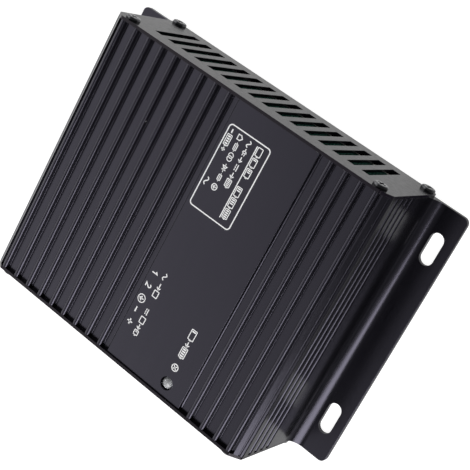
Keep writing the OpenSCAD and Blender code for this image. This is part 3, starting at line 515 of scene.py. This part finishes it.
finishes = {
    "housing_metal": housing_metal(),
    "plate_metal": plate_metal(),
    "dark_screws": dark_screws(),
    "board": board(),
    "black_plastic": moulded("black_plastic", (0.012, 0.012, 0.012), (0.024, 0.024, 0.024), 0.45),
    "tinned_brass": bright("tinned_brass", (0.52, 0.47, 0.36), (0.76, 0.73, 0.66), 0.26),
    "plated_steel": bright("plated_steel", (0.52, 0.53, 0.56), (0.74, 0.75, 0.77), 0.22),
    "lamp_resin": lamp_resin(),
    "wire_cover": wire_cover(),
    "white_plastic": moulded("white_plastic", (0.66, 0.65, 0.59), (0.78, 0.77, 0.72), 0.4),
    "fuse_glass": fuse_glass(),
    "blue_resin": glossy("blue_resin", (0.02, 0.08, 0.38), (0.04, 0.13, 0.52)),
    "yellow_plastic": moulded("yellow_plastic", (0.70, 0.50, 0.04), (0.82, 0.62, 0.08), 0.3, 0.008),
    "green_core": powder_core("green_core", (0.02, 0.13, 0.05), (0.05, 0.22, 0.09)),
    "copper": copper(),
    "black_resin": moulded("black_resin", (0.014, 0.014, 0.015), (0.03, 0.03, 0.031), 0.5, 0.02, 5.0),
    "capacitor_sleeve": glossy("capacitor_sleeve", (0.012, 0.016, 0.05), (0.03, 0.036, 0.09), 0.25),
    "bare_aluminium": bright("bare_aluminium", (0.6, 0.61, 0.63), (0.8, 0.81, 0.82), 0.3, (1, 1, 0.03)),
    "ferrite": ferrite(),
    "bobbin_plastic": moulded("bobbin_plastic", (0.04, 0.03, 0.022), (0.075, 0.06, 0.045), 0.4),
    "winding_tape": winding_tape(),
    "yellow_core": powder_core("yellow_core", (0.6, 0.5, 0.07), (0.75, 0.66, 0.16)),
    "white_ceramic": white_ceramic(),
    "blue_plastic": moulded("blue_plastic", (0.02, 0.10, 0.42), (0.035, 0.15, 0.52), 0.35),
    "lamp_silver": bright("lamp_silver", (0.62, 0.63, 0.65), (0.82, 0.83, 0.85), 0.35),
    "can_end": bright("can_end", (0.62, 0.63, 0.65), (0.82, 0.82, 0.83), 0.32),
    "sleeve_rim": glossy("sleeve_rim", (0.012, 0.016, 0.05), (0.03, 0.036, 0.09), 0.25),
    "stripe": moulded("stripe", (0.34, 0.36, 0.42), (0.46, 0.48, 0.55), 0.35, 0.004),
    "solder": bright("solder", (0.58, 0.58, 0.57), (0.78, 0.78, 0.77), 0.2),
    "white_ink": white_ink(),
    "board_ink": board_ink(),
}
with_leads = (
    "black_resin", "blue_resin", "yellow_plastic", "capacitor_sleeve", "white_ceramic", "blue_plastic",
    "bobbin_plastic",
)
lead_top = board_top + 0.35
for slot in with_leads:
    on_leads(finishes[slot], lead_top)

for name, solid in nodes.items():
    for place in solid.material_slots:
        place.material = finishes[slot_of[name]]


# Shapes worked out as arrays, in millimetres


def grid_faces(rows, columns, rows_close=False, columns_close=True):
    """The quads of a grid of points numbered row by row. A way that closes joins its last line to its
    first."""
    across, up = np.arange(columns - (not columns_close)), np.arange(rows - (not rows_close))
    r, c = (way.ravel() for way in np.meshgrid(up, across, indexing="ij"))
    down, right = (r + 1) % rows, (c + 1) % columns
    quads = np.stack([r * columns + c, r * columns + right, down * columns + right, down * columns + c], 1)
    return quads.tolist()


def carried(path, profile, outward):
    """A profile carried along a path: path + x across + y outward, where across is the path's direction
    crossed with outward. The two ends are closed with flat faces."""
    path = np.asarray(path, float)
    way = np.gradient(path, axis=0)
    way /= np.linalg.norm(way, axis=1, keepdims=True)
    outward = np.broadcast_to(outward, path.shape).astype(float)
    outward = outward - (outward * way).sum(1, keepdims=True) * way
    outward /= np.linalg.norm(outward, axis=1, keepdims=True)
    across = np.cross(way, outward)
    x, y = np.asarray(profile, float).T
    points = path[:, None] + x[None, :, None] * across[:, None] + y[None, :, None] * outward[:, None]
    rows, columns = points.shape[:2]
    ends = [list(range(columns))[::-1], list(range((rows - 1) * columns, rows * columns))]
    return points.reshape(-1, 3), grid_faces(rows, columns) + ends


def ring_profile(radius, sides):
    """Points evenly round a circle."""
    a = np.arange(sides) * 2 * np.pi / sides
    return np.stack([radius * np.cos(a), radius * np.sin(a)], 1)


def turned(profile, centre, axis, steps):
    """A profile of radius and height turned round Z or Y: each row holds one height, each column one
    angle."""
    radius, height = np.asarray(profile, float).T
    a = np.arange(steps) * 2 * np.pi / steps
    x, y = radius[:, None] * np.cos(a), radius[:, None] * np.sin(a)
    z = np.broadcast_to(height[:, None], x.shape)
    order = {"Z": (x, y, z), "Y": (y, z, x)}[axis]
    points = np.stack(order, -1) + np.asarray(centre, float)
    return points.reshape(-1, 3), grid_faces(len(radius), steps)


def stroke(path, width, closed=False, z=plateau_z):
    """A flat line of ink along a path of x and y: a low box section whose corners are mitred by the sum of
    the two directions across, over one plus their product. Its foot is sunk 0.01 mm."""
    path = np.asarray(path, float)
    after = np.roll(path, -1, 0) - path
    after /= np.maximum(np.linalg.norm(after, axis=1, keepdims=True), 1e-9)
    if not closed:
        after[-1] = after[-2]
    before = np.roll(after, 1, 0)
    if not closed:
        before[0] = after[0]
    left, left_before = (np.stack([-way[:, 1], way[:, 0]], 1) for way in (after, before))
    mitre = (left + left_before) / np.maximum(1 + (left * left_before).sum(1, keepdims=True), 0.4)
    side, rise = np.array([[-1, 0], [-1, 1], [1, 1], [1, 0]]).T * np.array([[width / 2], [ink_h]])
    flat = path[:, None] + side[None, :, None] * mitre[:, None]
    high = np.broadcast_to(z + rise - 0.01, flat.shape[:2])
    points = np.concatenate([flat, high[..., None]], -1)
    rows = len(path)
    faces = grid_faces(rows, 4, closed)
    if not closed:
        faces += [[0, 1, 2, 3], [4 * rows - 1, 4 * rows - 2, 4 * rows - 3, 4 * rows - 4]]
    return points.reshape(-1, 3), faces


def joined(shapes):
    """Several shapes as one: each one's faces are counted on from the points before it."""
    points, faces, first = [], [], 0
    for some, quads in shapes:
        points.append(some)
        faces += [[i + first for i in face] for face in quads]
        first += len(some)
    return np.concatenate(points), faces


def make_piece(name, shape, finish, sharp=35.0):
    """Puts a shape into a mesh, merges doubled points, turns all faces outwards, shades it smooth up to an
    angle and gives it one of the finishes."""
    points, faces = shape
    mesh = bpy.data.meshes.new(name)
    mesh.from_pydata((points * MM).tolist(), [], faces)
    work = bmesh.new()
    work.from_mesh(mesh)
    bmesh.ops.remove_doubles(work, verts=work.verts, dist=2e-7)
    bmesh.ops.recalc_face_normals(work, faces=work.faces)
    work.to_mesh(mesh)
    work.free()
    mesh.shade_smooth()
    mesh.set_sharp_from_angle(angle=np.radians(sharp))
    mesh.materials.append(finishes[finish])
    piece = bpy.data.objects.new(name, mesh)
    bpy.context.scene.collection.objects.link(piece)
    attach(piece, "root")
    return piece


def points_mm(mesh):
    """A mesh's points in millimetres, one in each row."""
    points = np.zeros(len(mesh.vertices) * 3)
    mesh.vertices.foreach_get("co", points)
    return points.reshape(-1, 3) / MM


def solid_boxes(node):
    """Lowest and highest corner of each separate solid of a node, in millimetres. Points at one place count
    as one, and each face hands the lowest number of its corners to all of them until nothing changes."""
    mesh = nodes[node].data
    places, index = np.unique(np.round(points_mm(mesh), 4), axis=0, return_inverse=True)
    mesh.calc_loop_triangles()
    corners = np.zeros(len(mesh.loop_triangles) * 3, np.int32)
    mesh.loop_triangles.foreach_get("vertices", corners)
    corners = index.ravel()[corners.reshape(-1, 3)]
    label = np.arange(len(places))
    for _ in range(400):
        lowest = label[corners].min(1)
        fresh = label.copy()
        for k in range(3):
            np.minimum.at(fresh, corners[:, k], lowest)
        if (fresh == label).all():
            break
        label = fresh
    return [(places[label == k].min(0), places[label == k].max(0)) for k in np.unique(label)]


def lead_places(names):
    """Where the leads of some nodes come out under the board: the points 0.3 mm below it and lower, gathered
    within 1.6 mm."""
    below, lead_spread = board_under - 0.3, 1.6
    found = []
    for name in names:
        points = points_mm(nodes[name].data)
        points = np.unique(np.round(points[points[:, 2] < below][:, :2], 2), axis=0)
        if not len(points):
            continue
        near = np.linalg.norm(points[:, None] - points[None], axis=2) < lead_spread
        group = near.argmax(1)
        count = np.bincount(group)
        used = count > 0
        x = np.bincount(group, points[:, 0])[used] / count[used]
        y = np.bincount(group, points[:, 1])[used] / count[used]
        found.append(np.stack([x, y], 1))
    return np.concatenate(found)


# Printed marks on the roof, as paths of x and y in millimetres


def bow(x, y, radius, start, end, steps=24):
    """Part of a circle round x, y, from one angle to another in degrees."""
    a = np.radians(np.linspace(start, end, steps))
    return np.stack([x + radius * np.cos(a), y + radius * np.sin(a)], 1)


def rounded_frame(x0, y0, x1, y1, radius):
    """Four quarter circles joined by straight sides."""
    corners = ((x1, y1, -1, -1, 0), (x0, y1, 1, -1, 90), (x0, y0, 1, 1, 180), (x1, y0, -1, 1, 270))
    return np.concatenate([
        bow(x + a * radius, y + b * radius, radius, start, start + 90, 8) for x, y, a, b, start in corners
    ])


def line(*points):
    return np.array(points, float)


def drawn(width, *points):
    """A mark: an open line of some width. Every mark is a path, its width, and whether it closes."""
    return line(*points), width, False


def circle(width, x, y, radius, steps=33):
    return bow(x, y, radius, 0, 360, steps)[:-1], width, True


def cell_sign(x, y, length, height, bars):
    """A battery: outline, end knob, and as many level bars as asked. x, y is the lower left corner."""
    body = length - 0.45
    knob = x + body + 0.28
    signs = [(rounded_frame(x, y, x + body, y + height, 0.25), 0.34, True)]
    signs.append(drawn(0.42, (knob, y + 0.3 * height), (knob, y + 0.7 * height)))
    pitch = (body - 0.5) / 4
    for k in range(bars):
        at = x + 0.25 + pitch * (k + 0.5)
        signs.append(drawn(0.62 * pitch, (at, y + 0.42), (at, y + height - 0.42)))
    return signs


def alternating_sign(x, y, length, height):
    """One period of a sine."""
    t = np.linspace(0, 1, 24)
    wave = y + height / 2 + 0.32 * height * np.sin(2 * np.pi * t)
    return [(np.stack([x + length * t, wave], 1), 0.42, False)]


def direct_sign(x, y, length, height):
    """A full line over three short ones."""
    top, low, third = y + 0.68 * height, y + 0.3 * height, length / 3
    signs = [drawn(0.4, (x, top), (x + length, top))]
    for k in range(3):
        signs.append(drawn(0.4, (x + k * third + 0.1, low), (x + (k + 1) * third - 0.14, low)))
    return signs


def arrow_sign(x, y, length, height):
    """A shaft and two barbs."""
    middle, tip, barb = y + height / 2, x + length, 0.38 * height
    return [
        drawn(0.42, (x, middle), (tip - 0.1, middle)),
        drawn(0.42, (tip - barb, middle + barb), (tip, middle), (tip - barb, middle - barb)),
    ]


def earth_sign(x, y, radius):
    """A protective earth: a ring round a stem and three ever shorter lines."""
    signs = [circle(0.36, x, y, radius, 41), drawn(0.4, (x, y + 0.62 * radius), (x, y))]
    for k, half in enumerate((0.62, 0.42, 0.2)):
        low = y - 0.27 * radius * k
        signs.append(drawn(0.34, (x - half * radius, low), (x + half * radius, low)))
    return signs


def lamp_sign(x, y, radius):
    """A ring with a cross in it."""
    d = radius * 0.7
    return [
        circle(0.4, x, y, radius),
        drawn(0.4, (x - d, y - d), (x + d, y + d)),
        drawn(0.4, (x - d, y + d), (x + d, y - d)),
    ]


def fuse_sign(x, y, length, height):
    """A box with its line right through."""
    middle, half = y + height / 2, 0.3 * height
    box = rounded_frame(x + 0.18 * length, middle - half, x + 0.82 * length, middle + half, 0.12)
    return [(box, 0.34, True), drawn(0.3, (x, middle), (x + length, middle))]


def diode_sign(x, y, length, height):
    """A triangle that points at a bar, on a line."""
    middle, half = y + height / 2, 0.42 * height
    a, b = x + 0.28 * length, x + 0.66 * length
    return [
        drawn(0.3, (x, middle), (x + length, middle)),
        (line((a, middle + half), (b, middle), (a, middle - half)), 0.38, True),
        drawn(0.38, (b + 0.12, middle + half), (b + 0.12, middle - half)),
    ]


def ring_pair_sign(x, y, height):
    """A transformer: two rings that overlap."""
    r = height / 2
    return [circle(0.34, x + r, y + r, r), circle(0.34, x + 2.2 * r, y + r, r)]


def house_sign(x, y, height):
    """Indoor use: a wall line under a roof line."""
    w, wall_top, eaves = height * 1.05, y + 0.5 * height, y + 0.46 * height
    left, right = x + 0.15, x + w - 0.15
    return [
        drawn(0.36, (left, wall_top), (left, y), (right, y), (right, wall_top)),
        drawn(0.4, (x - 0.1, eaves), (x + w / 2, y + height), (x + w + 0.1, eaves)),
    ]


def plug_sign(x, y, height):
    """A plug: a round body, two pins and a lead."""
    r = 0.36 * height
    middle, face = y + height / 2, x + 2.2 * r
    signs = [(bow(face, middle, r, 90, 270, 16), 0.4, False)]
    signs.append(drawn(0.4, (face, middle + r), (face, middle - r)))
    signs.append(drawn(0.4, (x, middle), (x + 1.2 * r, middle)))
    for pin in (middle - 0.5 * r, middle + 0.5 * r):
        signs.append(drawn(0.36, (face, pin), (x + 3.5 * r, pin)))
    return signs


def minus_sign(x, y, size):
    return [drawn(0.55, (x - size / 2, y), (x + size / 2, y))]


def plus_sign(x, y, size):
    return minus_sign(x, y, size) + [drawn(0.55, (x, y - size / 2), (x, y + size / 2))]


def figure_one(x, y, height):
    stem = x + 0.32 * height
    return [drawn(0.5, (x, y + 0.72 * height), (stem, y + height), (stem, y))]


def figure_two(x, y, height):
    """A half circle that runs down to a flat foot."""
    r = 0.28 * height
    top = bow(x + r, y + height - r, r, 165, -35, 16)
    return [(np.concatenate([top, line((x, y), (x + 2.2 * r, y))]), 0.5, False)]


def printed(name, signs):
    """All the signs of one mark as one piece of ink on the roof."""
    shapes = [stroke(path, width, closed) for path, width, closed in signs]
    return make_piece(name, joined(shapes), "white_ink")


def rating_field():
    """A framed field: a row of battery levels with a line under it, then signs for the supply, parts and
    poles."""
    levels, supply, parts, poles = 13.5, 8.4, 4.3, 0.3
    signs = [(rounded_frame(-45.9, -0.62, -12.5, 18.4, 1.4), 0.46, True)]
    signs.append(drawn(0.42, (-44.4, 12.9), (-14.8, 12.9)))
    for k in range(3):
        signs += cell_sign(-44.4 + 4.3 * k, levels, 3.7, 2.15, k)
        signs += cell_sign(-28.3 + 4.6 * k, levels, 4.1, 2.15, k + 2)
    signs += alternating_sign(-44.4, supply, 2.6, 2.2)
    signs += plug_sign(-41.2, supply, 2.2)
    signs += arrow_sign(-37.8, supply, 2.0, 2.2)
    signs += direct_sign(-34.8, supply, 2.7, 2.2)
    signs += arrow_sign(-31.4, supply, 2.2, 2.2)
    signs += cell_sign(-28.5, supply + 0.05, 3.4, 2.05, 4)
    signs += house_sign(-44.4, parts, 2.1)
    signs += fuse_sign(-41.3, parts, 3.6, 2.1)
    signs += ring_pair_sign(-37.0, parts + 0.05, 2.0)
    signs += diode_sign(-32.5, parts, 3.4, 2.1)
    signs += fuse_sign(-28.5, parts, 3.2, 2.1)
    signs += earth_sign(-22.9, parts + 1.05, 1.15)
    signs += minus_sign(-43.7, poles + 1, 1.5)
    signs += cell_sign(-42.2, poles, 4.6, 2.0, 4)
    signs += plus_sign(-36.4, poles + 1, 1.5)
    signs += alternating_sign(-24.7, poles, 3.2, 2.0)
    return printed("rating_field_print", signs)


def terminal_marks():
    """Signs over the five terminals, and over them the signs for supply in and battery out."""
    signs = figure_one(17.0, -0.75, 2.35) + figure_two(22.5, -0.75, 2.35) + earth_sign(29.0, 0.42, 1.6)
    signs += minus_sign(33.85, 0.42, 2.2) + plus_sign(39.3, 0.5, 2.3)
    signs += alternating_sign(15.2, 3.7, 2.8, 2.2) + arrow_sign(19.7, 3.7, 2.6, 2.2)
    signs += [(rounded_frame(23.0, 3.75, 25.6, 5.85, 0.2), 0.38, True)]
    signs += direct_sign(30.8, 3.9, 2.6, 2.2) + [(rounded_frame(34.6, 3.95, 37.2, 6.05, 0.2), 0.38, True)]
    signs += arrow_sign(37.8, 3.9, 2.0, 2.2) + cell_sign(40.4, 4.1, 2.4, 1.8, 2)
    return printed("terminal_marks_print", signs)


def lamp_marks():
    """Beside the lamp: a battery that fills, and the sign for a lamp."""
    signs = cell_sign(26.0, 24.7, 4.6, 2.4, 1) + arrow_sign(31.2, 24.7, 2.0, 2.4)
    signs += cell_sign(33.8, 24.7, 4.6, 2.4, 4) + lamp_sign(42.6, 25.9, 1.35)
    return printed("lamp_mark_print", signs)


rating_field()
terminal_marks()
lamp_marks()


# Wire, glass and metal that stand for plain solids


def squared(t):
    """A cosine or sine raised to a third with its sign kept, which makes a round path a rounded square."""
    return np.sign(t) * np.abs(t) ** (1 / 3)


def wire_turns(core, winding, start, over, turns):
    """Wire wound round a ring core lying flat. In each turn a point goes once round the core's section, at
    mid radius + half width x c(a) and mid height + half height x c(a - 90), where c is a cosine raised to a
    third with its sign kept, while its angle round the ring goes from start through over degrees."""
    low, high = box_mm(core)
    wrap = box_mm(winding)[1][2] - high[2]
    centre, outer = (low + high) / 2, (high[0] - low[0]) / 2
    inner = 0.55 * outer
    a = np.linspace(0, 2 * np.pi * turns, 30 * turns + 1)
    radius = (inner + outer) / 2 + ((outer - inner) / 2 + wrap / 2) * squared(np.cos(a))
    height = centre[2] + ((high[2] - low[2]) / 2 + wrap / 2) * squared(np.sin(a))
    round_ring = np.radians(start + over * a / a[-1])
    middle = (inner + outer) / 2
    path = np.stack([radius * np.cos(round_ring), radius * np.sin(round_ring), height - centre[2]], 1)
    ring = np.stack([middle * np.cos(round_ring), middle * np.sin(round_ring), 0 * a], 1)
    return carried(path + centre, ring_profile(0.45 * wrap, 8), path - ring)


def straight_leads(node, top):
    """Upright round wires from the node's lowest point to top, where its leads leave the board."""
    height = np.linspace(box_mm(node)[0][2], top, 4)
    shapes = []
    for x, y in lead_places([node]):
        path = np.stack([0 * height + x, 0 * height + y, height], 1)
        shapes.append(carried(path, ring_profile(0.45, 10), (1.0, 0.0, 0.0)))
    return shapes


def choke_wires():
    """Both windings of the line choke, and the one of the output choke, as real turns with their leads."""
    under = 0.6
    core, winding = "line_choke_core", "line_choke_windings"
    shapes = [wire_turns(core, winding, start, 140, 9) for start in (20, 200)]
    shapes += straight_leads(winding, box_mm(core)[0][2] - under)
    piece = make_piece("line_choke_wire", joined(shapes), "copper", 60)
    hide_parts("line_choke_windings")
    core, winding = "output_choke_core", "output_choke_winding"
    shapes = [wire_turns(core, winding, -160, 320, 30)]
    shapes += straight_leads(winding, box_mm(core)[0][2] - under)
    piece = make_piece("output_choke_wire", joined(shapes), "copper", 60)
    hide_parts("output_choke_winding")


def fuse_parts():
    """A glass tube, two pressed caps with rolled rims, and a fine wire that bows a little between them."""
    low, high = box_mm("fuse")
    centre, half, r = (low + high) / 2, (high[1] - low[1]) / 2, (high[0] - low[0]) / 2
    inside, outer, bore, step = half - 0.5, r - 0.2, r - 0.75, r - 0.16
    tube = [(outer, -inside), (outer, inside), (bore, inside), (bore, -inside), (outer, -inside)]
    glass = make_piece("fuse_tube", turned(tube, centre, "Y", 36), "fuse_glass")
    cap = [
        (0, half), (r - 0.4, half), (r - 0.12, half - 0.12), (r, half - 0.4), (r, half - 4.6),
        (r - 0.08, half - 4.9), (step, half - 5), (step, half - 4.8), (step, half - 0.4), (0, half - 0.4),
    ]
    caps = [turned([(a, side * b) for a, b in cap], centre, "Y", 36) for side in (-1, 1)]
    metal = make_piece("fuse_caps", joined(caps), "plated_steel", 50)
    s = np.linspace(-1, 1, 25)
    bowed = np.stack([0.5 * (1 - s ** 2), inside * s, 0.3 * np.sin(2 * s)], 1) + centre
    thread = carried(bowed, ring_profile(0.13, 8), (0, 0, 1))
    wire = make_piece("fuse_wire", thread, "tinned_brass")
    for piece in (glass, metal, wire):
        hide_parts("fuse")


def lamp_parts():
    """The lamp: a clear body with a flat rim and a domed end, and the metal cup and post set in it. The
    dome's radius is r x cos(t) and its height r x sin(t)."""
    low, high = box_mm("lamp")
    centre = (low + high) / 2
    axis = np.array([centre[0], centre[1], 0])
    foot, rim, top = low[2], (high[0] - low[0]) / 2, high[2]
    r = rim - 0.4
    t = np.radians(np.linspace(4, 90, 22))
    wall = [(0, foot), (rim, foot), (rim, foot + 0.9), (rim - 0.1, foot + 1), (r, foot + 1), (r, top - r)]
    dome = np.stack([r * np.cos(t), top - r + r * np.sin(t)], 1).tolist()
    lens = make_piece("lamp_lens", turned(wall + dome, axis, "Z", 56), "lamp_resin")
    floor, lip = top - 4.2, top - 2.7
    dish = [
        (0, floor), (0.45, floor), (1.75, lip), (1.95, lip), (1.95, lip - 0.15), (0.7, floor - 0.5),
        (0, floor - 0.5),
    ]
    post = line((0.25, 0.25, foot + 1), (0.25, 0.25, top - 3.4), (0.05, 0.05, top - 3.1)) + axis
    inner = [turned(dish, axis, "Z", 40), carried(post, ring_profile(0.28, 10), (1, 0, 0))]
    metal = make_piece("lamp_cup", joined(inner), "lamp_silver", 40)
    for piece in (lens, metal):
        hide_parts("lamp")


def can_top(low, high):
    """The bare end of a can: a disc whose height is 0.3 mm, less a rounded fall at its rim, less 0.22 mm at
    the pressed lines, where each line's depth is one over one plus the fourth power of the distance across
    it in units of 0.32 mm. A skirt closes it below, and the rolled rim of the sleeve goes round it."""
    rings, spokes = 30, 96
    middle, top = (low + high) / 2, high[2]
    axis = (middle[0], middle[1], 0)
    r = 0.84 * (high[0] - low[0]) / 2
    radius = np.linspace(0, 1, rings)[:, None] * r
    a = np.linspace(0, 2 * np.pi, spokes + 1)[None, :-1]
    x, y = radius * np.cos(a), radius * np.sin(a)
    press = np.zeros_like(x)
    for turn in (0.3, 0.3 + np.pi / 2):
        across = np.abs(x * np.sin(turn) - y * np.cos(turn)) / 0.32
        press = np.maximum(press, 1 / (1 + across ** 4))
    press = press * (radius < 0.8 * r)
    z = 0.3 - 0.25 * (radius / r) ** 8 - 0.22 * press
    points = np.stack([x + middle[0], y + middle[1], z + top], -1).reshape(-1, 3)
    skirt = turned([(r, top + 0.05), (r, top - 0.1), (0, top - 0.1)], axis, "Z", spokes)
    b = np.radians(np.linspace(0, 360, 11)[:-1])
    roll = np.stack([r + 0.5 + 0.42 * np.cos(b), top + 0.3 * np.sin(b)], 1)[[*range(10), 0]]
    return joined([(points, grid_faces(rings, spokes)), skirt]), turned(roll, axis, "Z", 64)


def side_patch(middle, r, start, end, low, high, thick):
    """A curved sheet on a can's side: angles from start to end in degrees, heights from low to high, thick
    proud of the side and sunk 0.05 mm into it."""
    a = np.radians(np.linspace(start, end, 9))
    path = np.stack([middle[0] + r * np.cos(a), middle[1] + r * np.sin(a), 0 * a + (low + high) / 2], 1)
    outward = np.stack([np.cos(a), np.sin(a), 0 * a], 1)
    half, sunk = (high - low) / 2, -0.05
    profile = [(-half, sunk), (half, sunk), (half, thick), (-half, thick)]
    return carried(path, profile, outward)


def can_parts(node, name):
    """Bare tops with rolled sleeve rims, and the pale stripe with short dark bars that marks the negative
    side."""
    tops, rolls, stripes, bars = [], [], [], []
    for low, high in solid_boxes(node):
        top, roll = can_top(low, high)
        tops.append(top)
        rolls.append(roll)
        middle = (low + high) / 2
        r = high[0] - middle[0]
        foot = board_top + 0.13 * (high[2] - board_top)
        stripes.append(side_patch(middle, r, 160, 200, foot, high[2] - 1.4, 0.05))
        count = max(2, int((high[2] - foot) / 5))
        for k in range(count):
            at = foot + (high[2] - 2 - foot) * (k + 0.5) / count
            bars.append(side_patch(middle, r, 172, 188, at - 0.4, at + 0.4, 0.09))
    make_piece(name + "_tops", joined(tops), "can_end", 50)
    make_piece(name + "_rims", joined(rolls), "sleeve_rim")
    make_piece(name + "_stripes", joined(stripes), "stripe")
    make_piece(name + "_bars", joined(bars), "sleeve_rim")


def solder_joints():
    """A solder cone round every lead under the board: its radius falls from the pad's 1.15 mm by 0.75 mm
    over its 1.2 mm of height, as a square root."""
    pad, fall, height = 1.15, 0.75, 1.2
    pins = (
        "terminal_contacts", "lamp_plug", "fuse_clips", "line_capacitor", "surge_absorber",
        "line_choke_windings", "reservoir_capacitor", "bridge_rectifier", "transformer_bobbin",
        "output_choke_winding", "output_capacitors", "current_shunt", "switch_transistor", "output_diode",
        "switch_heatsink", "output_heatsink", "interference_capacitors",
    )
    s = np.linspace(0, 1, 6)
    cone = np.stack([pad - fall * np.sqrt(s), board_under - height * s], 1)
    sunk = board_under + 0.02
    cone = np.concatenate([[(0, sunk), (pad, sunk)], cone, [(0, board_under - height)]])
    joints = [turned(cone, (x, y, 0), "Z", 14) for x, y in lead_places(pins)]
    make_piece("solder_joints", joined(joints), "solder", 50)


def board_legend():
    """White outlines round the feet of the larger parts."""
    width = 0.22
    shapes = []
    for node in ("line_capacitor", "bridge_rectifier", "current_shunt", "transformer_bobbin", "fuse"):
        low, high = box_mm(node)
        outline = rounded_frame(low[0] - 0.9, low[1] - 0.9, high[0] + 0.9, high[1] + 0.9, 0.4)
        shapes.append(stroke(outline, width, True, board_top))
    for node in ("reservoir_capacitor", "output_capacitors", "line_choke_core", "output_choke_core"):
        for low, high in solid_boxes(node):
            middle = (low + high) / 2
            ring = bow(middle[0], middle[1], (high[0] - low[0]) / 2 + 0.8, 0, 360, 49)[:-1]
            shapes.append(stroke(ring, width, True, board_top))
    make_piece("board_legend", joined(shapes), "board_ink")


def root_strip(foot, floor, radius, inner, side):
    """A hollow of the given radius along the extrusion, laid over the housing's tighter inner one. Its face
    is a quarter of a circle, at y = foot + r - r sin t and z = floor + r - r cos t, and its back lies
    0.06 mm deep. It stops 0.03 mm short of the extrusion's ends."""
    skin, half_length = 0.06, 54.97
    t = np.linspace(0, np.pi / 2, 49)
    face = np.stack([foot + radius * (1 - np.sin(t)), floor + radius * (1 - np.cos(t))], 1)
    t = np.linspace(np.pi / 2, 0, 10)
    back = np.stack([foot + inner * (1 - np.sin(t)), floor + inner * (1 - np.cos(t))], 1) - skin
    section = np.concatenate([face, [(foot - skin, floor + radius)], back, [(foot + radius, floor - skin)]])
    path = np.array([[-half_length, 0, 0], [0, 0, 0], [half_length, 0, 0]])
    return carried(path, section * (-side, 1), (0.0, 0.0, 1.0))


def root_strips():
    """The wide roots of the walls on the flanges, short of the mounting slots, and of the plain field's
    edges."""
    wall, flange_top, wide, solid = 65.0, 2.0, 5.8, 3.0
    walls = [root_strip(wall, flange_top, wide, solid, side) for side in (-1, 1)]
    make_piece("wall_roots", joined(walls), "housing_metal", 50)
    fin_floor, wide, solid = 42.4, 1.0, 0.5
    edges = [root_strip(at, fin_floor, wide, solid, side) for at, side in ((35.0, 1), (2.2, -1))]
    make_piece("field_roots", joined(edges), "housing_metal", 50)


root_strips()
choke_wires()
fuse_parts()
lamp_parts()
can_parts("reservoir_capacitor", "reservoir_can")
can_parts("output_capacitors", "output_can")
solder_joints()
board_legend()
